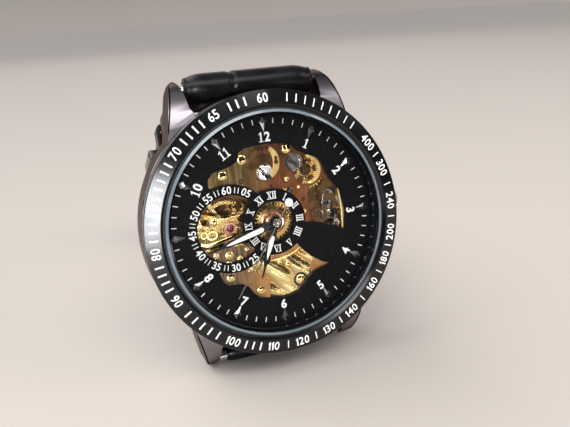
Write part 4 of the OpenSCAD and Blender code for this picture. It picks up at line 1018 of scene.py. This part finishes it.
def slotted_head(x, y, radius, foot, turn, rise=0.17):
    """A domed screw head with a slot cut across it."""
    r = radius
    profile = [(0, rise), (r * 0.35, rise * 0.95), (r * 0.7, rise * 0.7), (r * 0.92, rise * 0.3)]
    head = turned_piece(profile + [(r, 0), (r, -0.05), (0, -0.05)], (x, y, foot))
    way = (0, 0, math.radians(turn))
    bpy.ops.mesh.primitive_cube_add(size=1, location=(x, y, foot + rise), rotation=way)
    saw = bpy.context.object
    saw.scale = (3 * r, 0.17, 0.16)
    return cut_away(head, saw)


# %% Screws that hold the plates
PLATE = -0.6
SCREWS = [(-7.4, 8.5), (-4, 10.6), (3.6, 11.4), (-8.2, -7.9), (-3.4, -11), (3.6, -10.5)]
SCREWS += [(-8.2, -5.9)]
HEAD_R, TURN_EACH = 0.8, 50
heads = [slotted_head(x, y, HEAD_R, PLATE, TURN_EACH * i) for i, (x, y) in enumerate(SCREWS)]

# The big wheel screw's slot and shaded side are painted shadow, and its bright rim a painted
# highlight: thin pieces laid on its head.
BIG, BIG_TOP = (4.5, 9.1), -0.44
shadow = [strip([(3.68, 10.23), (5.32, 7.97)], 0.24), arc_band(BIG, 1.0, 1.49, 125, 250)]
slot = solid(shadow, BIG_TOP - 0.01, BIG_TOP + 0.01, 0)
settle(slot, "big_screw_painted_shadow", "watch", engraved)
shine = solid([arc_band(BIG, 1.12, 1.48, -95, 55)], BIG_TOP - 0.01, BIG_TOP + 0.03, 0.01)
settle(shine, "big_screw_painted_highlight", "watch", mark_steel)
screws = settle(joined(heads), "plate_screw_heads", "watch", screw_gold)
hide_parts("plate_screws")
print("screw heads", len(heads))

# %% [markdown]
# ## Crystal edge
# The crystal's edge shows as a pale blue-grey line inside the black bezel, a painted reflection:
# the glass has no gloss, so the light its bevel catches is a thin pale ring, spun from its section
# and laid on the crystal's bevel.

# %% Crystal edge
EDGE_OUT, EDGE_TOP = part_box("crystal")[1].x / MM - 0.02, 3.3
EDGE_IN, EDGE_FOOT = EDGE_OUT - 0.42, EDGE_TOP - 0.5
section = [(EDGE_IN, EDGE_TOP - 0.195), (EDGE_OUT, EDGE_TOP - 0.405), (EDGE_OUT, EDGE_FOOT)]
section += [(EDGE_IN, EDGE_FOOT), (EDGE_IN, EDGE_TOP - 0.195)]
edge_ring = turned_piece(section, (0, 0, 0), 128)
settle(edge_ring, "crystal_edge", "watch", crystal_edge)
print("crystal edge", round(EDGE_IN, 2), "to", round(EDGE_OUT, 2), "mm")

# %% [markdown]
# ## Wheels, rivets and plates
# What the dial's openings show is dressed from the wheels upwards: teeth, rivets, the lips of the
# windows, thin plates with their engraving and the painted shade of their holes, and springs.

# %% Toothed rings
ratchet = solid(toothed_ring((-0.4, 8.1), 1.45, 2.92, 3.2, 40), -1.05, -0.99, 0)
settle(ratchet, "ratchet_teeth", "ratchet", bronze)
TIP_R, DISH = 3.15, 0.16
hour_teeth = solid(toothed_ring((0, 0), 2.0, 2.62, TIP_R, 30), -0.59, -0.5, 0)
for v in hour_teeth.data.vertices:
    v.co.z += (TIP_R - v.co.xy.length) * DISH
settle(hour_teeth, "hour_teeth", "hours", gilt)
print("toothed rings", len(ratchet.data.polygons), len(hour_teeth.data.polygons))

# %% Rivets, jewel and centre dish
RIVETS = [(3.1, 6.4, 0.5), (1.7, -7.6, 0.6), (0.3, -6.9, 0.42), (-9.55, 3.3, 0.3)]
RIVETS += [(-5.0, -7.4, 0.35), (5.0, 4.9, 0.32), (5.5, 0.75, 0.4)]
WORN_TOP = PLATE + 0.06
RIVETS_LOW = [(-7.9, -4.2, 0.68), (-10.1, -3.9, 0.45), (-6.3, -5.0, 0.45), (-5.0, -3.7, 0.3)]
parts = [rivet(x, y, r, PLATE) for x, y, r in RIVETS]
parts += [rivet(x, y, r, WORN_TOP, rise=0.1) for x, y, r in RIVETS_LOW]
settle(joined(parts), "plate_rivets", "watch", screw_gold)

chaton = turned_piece(ring_profile(0.6, 1.12, PLATE - 0.05, -0.45), (RING_X, 0, 0), 48)
settle(chaton, "jewel_setting", "watch", rose)
dome = [(0, -0.47), (0.22, -0.48), (0.4, -0.54), (0.53, -0.64), (0.53, -0.72), (0, -0.72)]
settle(turned_piece(dome, (RING_X, 0, 0)), "ruby_dome", "watch", ruby)
dish = [(0.82, -0.6), (1.72, -0.6), (1.95, -0.5), (1.98, -0.36), (1.86, -0.33), (1.7, -0.44)]
dish += [(1.25, -0.5), (1.1, -0.42), (0.82, -0.4), (0.82, -0.6)]
settle(turned_piece(dish, (0, 0, 0), 64), "centre_dish", "hours", rose)
print("rivets", len(parts))

# %% Lips of the upper windows
LIP_FOOT, LIP_TOP = -1.0, -0.62
wall = solid([arc_band((-0.6, 9.6), 1.85, 2.88, -62, 58)], LIP_FOOT, LIP_TOP)
for x, y, r in ((1.75, 10.15, 0.34), (1.72, 9.5, 0.4)):
    bpy.ops.mesh.primitive_cylinder_add(vertices=24, radius=r, depth=2, location=(x, y, -0.8))
    cut_away(wall, bpy.context.object)

TEETH, WINDOW_X, WINDOW_Y, WINDOW_R = 15, 6.88, 7.51, 2.3
FIRST, LAST = 84, -82
outline = arc_band((WINDOW_X, WINDOW_Y), WINDOW_R, 2.39, LAST, FIRST)[:25]
for k in range(TEETH):
    for part, r in ((0.12, 2.0), (0.38, 1.55), (0.62, 1.55), (0.88, 2.0)):
        along = (k + part) / TEETH
        a = math.radians(FIRST - (FIRST - LAST) * along)
        fading = math.sin(math.pi * (0.08 + 0.84 * along)) ** 0.5
        deep = WINDOW_R - (WINDOW_R - r) * fading
        outline.append((WINDOW_X + deep * math.cos(a), WINDOW_Y + deep * math.sin(a)))
toothed = solid([outline], LIP_FOOT, LIP_TOP, 0.03)
settle(joined([wall, toothed]), "window_lips", "watch", lip_gold)
print("window lips", len(outline), "points")

# %% Thin plates, engraving and painted shade of holes
LOW_LEFT = [(-11, -6.2), (-6, -6.2), (-5, -7.2), (-3.9, -7.9), (-2.5, -8.5), (-1.7, -10)]
LOW_LEFT += [(-2, -12.5), (-5.5, -11.8), (-9, -9.4)]
TAIL = [(5.7, -9.9), (5.4, -8.6), (6.3, -7.4), (8.2, -8.1), (9.6, -8.9), (8, -9.6)]
thin = solid([LOW_LEFT, TAIL], PLATE, PLATE + 0.07)
settle(thin, "lower_plates", "watch", lower_brown)
WORN = [(-12.2, -2.95), (-3.4, -2.95), (-3.1, -3.4), (-3.5, -6.1), (-11.2, -6.1)]
settle(solid([WORN], PLATE, WORN_TOP), "worn_plate", "watch", worn_plate)

# Dark marks: an engraved line and ring, and painted shade for a slot, a notch, a hole and a recess.
marks = [strip([(4.3, 6.5), (5.5, 5.45)], 0.09), strip([(-4.1, 9.1), (-4.1, 7.6)], 0.14)]
marks += [[(0.05, 5.5), (0.6, 5.4), (0.6, 6.0), (0.1, 6.05)]]
MARK_TOP = PLATE + 0.012
dark = [solid(marks, PLATE, MARK_TOP, 0)]
RINGS = ((5.6, 4.9, 0.24, 0.32), (-4.45, 7.2, 0.06, 0.5), (3.6, -10.5, 0.82, 1.3))
for x, y, inner, outer in RINGS:
    dark.append(turned_piece(ring_profile(inner, outer, PLATE - 0.02, MARK_TOP), (x, y, 0)))
settle(joined(dark), "plate_engraving_and_hole_shade", "watch", engraved)
seat = solid([arc_band((0, 0), 5.4, 6.2, -100, -48)], PLATE, PLATE + 0.03, 0)
settle(seat, "ring_seat", "watch", lower_brown)
lip = solid([arc_band((0, 0), 6.2, 6.55, -102, -46)], PLATE, PLATE + 0.09)
RAIL = [(-12.2, -1.7), (-11, -2.1), (-9.2, -1.8), (-7.3, -1.42), (-6.1, -0.85)]
rail = solid([strip(RAIL, 0.5)], PLATE, -0.5)
settle(joined([lip, rail]), "polished_rails", "watch", screw_gold)
print("engraved marks", len(dark))

# %% Regulator and setting springs
FLOOR = -0.95
loops = []
for x, y, wide, tall in ((-10.25, -0.55, 0.95, 0.75), (-11.55, -0.35, 0.6, 0.55)):
    loop = turned_piece(ring_profile(0.62, 1.0, 0, 0.16), (0, 0, 0), 40)
    loop.scale = (wide, tall, 1)
    loop.location = (x, y, PLATE)
    loops.append(apply_place(loop))
loops.append(rivet(-9.7, 1.45, 0.75, PLATE, rise=0.17))
settle(joined(loops), "regulator", "watch", screw_gold)

SPRING = [(10.9, 3.5), (10.1, 3.7), (9.4, 3.4), (9.05, 2.6), (8.95, 1.5), (8.9, 0.3), (8.75, -1.0)]
springs = [solid([strip(SPRING, 0.28)], FLOOR + 0.12, FLOOR + 0.26, 0.04)]
springs.append(solid([strip([(11.75, 0.8), (11.7, 2.5)], 0.4)], FLOOR, FLOOR + 0.3, 0.05))
foot = turned_piece(ring_profile(0.1, 0.62, FLOOR, FLOOR + 0.3), (10.9, 3.4, 0))
springs += [foot, rivet(10.4, 1.5, 0.4, FLOOR, rise=0.25)]
POST_X, POST_Y, COS, SIN = 3.5, 4.45, 0.79, 0.61
BLOCK = ((-0.3, -0.6), (0.3, -0.6), (0.3, 0.6), (-0.3, 0.6))
post = [(POST_X + COS * u + SIN * v, POST_Y - SIN * u + COS * v) for u, v in BLOCK]
springs.append(solid([post], PLATE, PLATE + 0.25, 0.08))
settle(joined(springs), "setting_springs", "watch", spring_steel)
rim = solid([arc_band((0, 0), 12.15, 12.9, -15, 17)], FLOOR, -0.5)
settle(rim, "window_rim", "watch", lip_gold)
print("movement parts done")

# %% [markdown]
# ## Back of the movement
# Behind the back glass lies the striped plate. Its bearings are rubies in gold settings, and three
# blued screws hold the plate's pillars. They are the same round parts, turned to look backwards.

# %% Back of the movement
BACK_FACE = -6.4
PILLARS = [(-10.6, -4.6), (8.6, -7.2), (-9.2, 6.4)]
CAPPED = [(-7.2, 3), (-10.2, 0)]


def on_back(piece, x, y):
    """Turns a piece to look backwards and puts it on the plate's back."""
    piece.matrix_world = Matrix.Translation((x, y, BACK_FACE)) @ Matrix.Rotation(math.pi, 4, "X")
    return apply_place(piece)


def axle(node):
    """Where a wheel's axle stands on the dial."""
    low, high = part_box(node)
    return (DIAL.inverted() @ ((Vector(low) + Vector(high)) / 2)).xy


TURNING = "second_wheel third_wheel fourth_wheel escape_wheel balance_wheel".split()
AXLES = [axle(node) for node in TURNING]
SETTING, CAP = ring_profile(0.5, 0.95, -0.03, 0.16), ring_profile(0.02, 1.39, -0.2, -0.08)
STONE = [(0, 0.05), (0.12, 0.06), (0.16, 0.12), (0.36, 0.13), (0.5, 0.06), (0.5, -0.03)]
STONE += [(0, -0.03)]
settings, stones = [], []
for x, y in AXLES:
    settings.append(on_back(turned_piece(SETTING, (0, 0, 0), 40), x, y))
    stones.append(on_back(turned_piece(STONE, (0, 0, 0)), x, y))
settle(joined(settings), "back_settings", "watch", screw_gold)
settle(joined(stones), "back_stones", "watch", ruby)
caps = [on_back(turned_piece(CAP, (0, 0, 0), 48), x, y) for x, y in CAPPED]
settle(joined(caps), "back_caps", "watch", bronze)
heads = []
for i, (x, y) in enumerate(PILLARS):
    heads.append(on_back(slotted_head(0, 0, 0.85, 0, 35 * i), x, y))
settle(joined(heads), "back_plate_screws", "watch", blued)
print("back bearings", [tuple(round(c, 2) for c in a) for a in AXLES])

# %% [markdown]
# ## Leather
# The strap's solids have the right bends, holes and taper, so a copy of each is remeshed into an
# even skin. Square scales are then pressed into the outer face: a weight says how deep each point
# lies in a groove, and a Displace modifier pushes it in by that weight.

# %% Strap lines
LOW_BAR, LOW_R, PAD_R = Vector((-22.0562, 1.65)), 1.35, 2.4
TURN, TURN_R, LONG_T = Vector((28, 13.9)), 13.9, 2.5
BETA = math.radians(22.714328)
BACK = Vector((-math.cos(BETA), math.sin(BETA)))
OUT = Vector((math.sin(BETA), math.cos(BETA)))
KNEE = TURN + (TURN_R - LONG_T) * OUT
S_UP = 52.017


def long_strap(y, z):
    """Distance along the long strap and the way out of it, at a point of the side view."""
    p = Vector((y, z))
    if y < LOW_BAR.x:
        d = p - LOW_BAR
        a = math.atan2(-d.x, -d.y)
        return -LOW_R * a, d.normalized()
    if y < TURN.x and z < 8:
        return y - LOW_BAR.x, Vector((0, -1))
    d = p - TURN
    a = math.atan2(d.y, d.x) + math.pi / 2
    if a < 0:
        a += 2 * math.pi
    end = math.pi - BETA
    if a < end:
        return TURN.x - LOW_BAR.x + TURN_R * a, d.normalized()
    return TURN.x - LOW_BAR.x + TURN_R * end + (p - KNEE).dot(BACK), OUT


def short_strap(y, z):
    """The same for the short strap, from the buckle up to its bar."""
    p = Vector((y, z)) - KNEE
    s = p.dot(BACK)
    if s > S_UP:
        d = Vector((s - S_UP, p.dot(OUT) - 1.3))
        a = math.atan2(d.x, d.y)
        return S_UP + PAD_R * a, (BACK * d.x + OUT * d.y).normalized()
    return s, OUT


ROW, ROW_SHIFT, SPLIT, GROOVE_HALF = 5.2, (0.0, 0.42), 0.36, 0.42
WAVE, UNEVEN = 0.018, 0.22


def groove_depth(s, across, half, seed, plain):
    """0 on a scale, 1 in the middle of a groove: two columns, with rows offset in each."""
    u = (across + half) / (2 * half)
    wave = WAVE * noise.noise(Vector((s * 0.3, seed, 0)))
    column = 0 if u < SPLIT + wave else 1
    side = abs(u - SPLIT - wave) * 2 * half
    uneven = UNEVEN * noise.noise(Vector((s * 0.09, column * 7.0, seed)))
    row = s / ROW + ROW_SHIFT[column] + uneven
    row_gap = abs(row - round(row)) * ROW
    near = side if plain else min(side, row_gap)
    return math.exp(-((near / GROOVE_HALF) ** 2))


print("long strap at its turn", round(long_strap(TURN.x, 0)[0], 2), "mm")


# %% Even skins
def merged_copy(node):
    """A copy of a solid whose faces share their corners."""
    piece = linked(node + "_copy", nodes[node].data.copy())
    with edit_mode(piece):
        bpy.ops.mesh.remove_doubles(threshold=1e-6)
    return piece


def even_skin(node, voxel, rounds):
    """A copy of a solid as an even skin, its edges rounded by smoothing."""
    piece = merged_copy(node)
    apply_modifier(piece, "REMESH", mode="VOXEL", voxel_size=voxel * MM, use_smooth_shade=True)
    return apply_modifier(piece, "SMOOTH", factor=0.5, iterations=rounds)


def stand_for(piece, node, name, body, material):
    """Settles a piece that takes the place of a solid."""
    settle(piece, name, body, material, Matrix.Identity(4))
    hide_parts(node)


CROWN, CROWN_BAND, GROOVE, STRAP_HALF = 0.75, 3.4, 0.22, 10.85
EDGE_BAND, EDGE_FADE, FACE_FROM, FACE_FADE = 1.5, 0.6, 0.35, 0.4
LOW_ROLL, UP_ROLL, BORDER = 2, S_UP - 4, 0.4


def clamped(value):
    return min(1.0, max(0.0, value))


def emboss(piece, line, seed):
    """Rounds the padded face down towards its edges and presses the grooves into it."""
    spots, halves = [], {}
    for v in piece.data.vertices:
        x, y, z = (c / MM for c in v.co)
        s, out = line(y, z)
        facing = v.normal.y * out.x + v.normal.z * out.y
        spots.append((x, s, clamped((facing - FACE_FROM) / FACE_FADE)))
        halves[round(s)] = max(halves.get(round(s), 0.0), abs(x))
    groups = [piece.vertex_groups.new(name=name) for name in ("crown", "grooves", "edges")]
    crown, grooves, edges = groups
    for index, (x, s, face) in enumerate(spots):
        before, after = (halves.get(whole, 0.0) for whole in (math.floor(s), math.ceil(s)))
        inside = before + (after - before) * (s - math.floor(s)) - abs(x)
        edges.add([index], clamped((EDGE_BAND - inside) / EDGE_FADE), "REPLACE")
        if face > 0:
            near = max(0.0, 1 - inside / CROWN_BAND)
            crown.add([index], face * near**2, "REPLACE")
            roll = s < LOW_ROLL or line is short_strap and s > UP_ROLL
            deep = groove_depth(s, x, STRAP_HALF, seed, roll) * clamped(inside - BORDER)
            grooves.add([index], face * deep, "REPLACE")
    for name, depth in (("crown", CROWN), ("grooves", GROOVE)):
        apply_modifier(piece, "DISPLACE", strength=-depth * MM, mid_level=0.0, vertex_group=name)
    apply_modifier(piece, "SMOOTH", factor=0.5, iterations=14, vertex_group="edges")
    piece.vertex_groups.clear()
    return piece


strap_long = emboss(even_skin("strap_6", voxel=0.33, rounds=2), long_strap, seed=3.0)
strap_short = emboss(even_skin("strap_12", voxel=0.3, rounds=2), short_strap, seed=11.0)
for piece, node in ((strap_long, "strap_6"), (strap_short, "strap_12")):
    stand_for(piece, node, node + "_leather", "watch", leather)
print("strap faces", len(strap_long.data.polygons), len(strap_short.data.polygons))


# %% Keepers
def round_corners(loop, radius):
    """Pulls a square loop's outer corners in to a radius, in the plane across the strap."""
    spots = [(v, v.co.x / MM, (v.co.yz / MM - KNEE).dot(OUT)) for v in loop.data.vertices]
    half, heights = max(x for _, x, _ in spots), [h for *_, h in spots]
    low, high = min(heights), max(heights)
    for v, x, h in spots:
        up = 1 if h > (low + high) / 2 else -1
        level = high - radius if up > 0 else low + radius
        away = Vector((x, h)) - Vector((math.copysign(half - radius, x), level))
        if away.x * x > 0 and away.y * up > 0 and away.length > radius:
            move = away.normalized() * radius - away
            v.co += Vector((move.x, move.y * OUT.x, move.y * OUT.y)) * MM
    return loop


for node, body in (("fixed_keeper", "watch"), ("loop_keeper", "loop_keeper")):
    keeper = round_corners(even_skin(node, voxel=0.16, rounds=12), radius=1.5)
    stand_for(keeper, node, node + "_leather", body, leather)
    print(node, len(keeper.data.polygons), "faces")

# %% [markdown]
# ## Buckle and case
# The buckle is cast, so its edges are round: the same even skin does that for metal. The case keeps
# its crisp edges. Its flat faces are merged first, then bends of up to 38 degrees are shaded as one
# surface, with normals weighted by face size so that the flats stay flat.

# %% Buckle and case
FLAT, BEND = math.radians(0.5), math.radians(38)
for node, body in (("buckle_frame", "watch"), ("buckle_tongue", "tongue")):
    cast = even_skin(node, voxel=0.13, rounds=8)
    stand_for(cast, node, node + "_rounded", body, buckle_steel)
shell = merged_copy("case_body")
with edit_mode(shell):
    bpy.ops.mesh.dissolve_limited(angle_limit=FLAT)
bpy.ops.object.shade_smooth_by_angle(angle=BEND)
apply_modifier(shell, "WEIGHTED_NORMAL", keep_sharp=True)
stand_for(shell, "case_body", "case_shell", "watch", gunmetal)
print("case faces", len(shell.data.polygons))
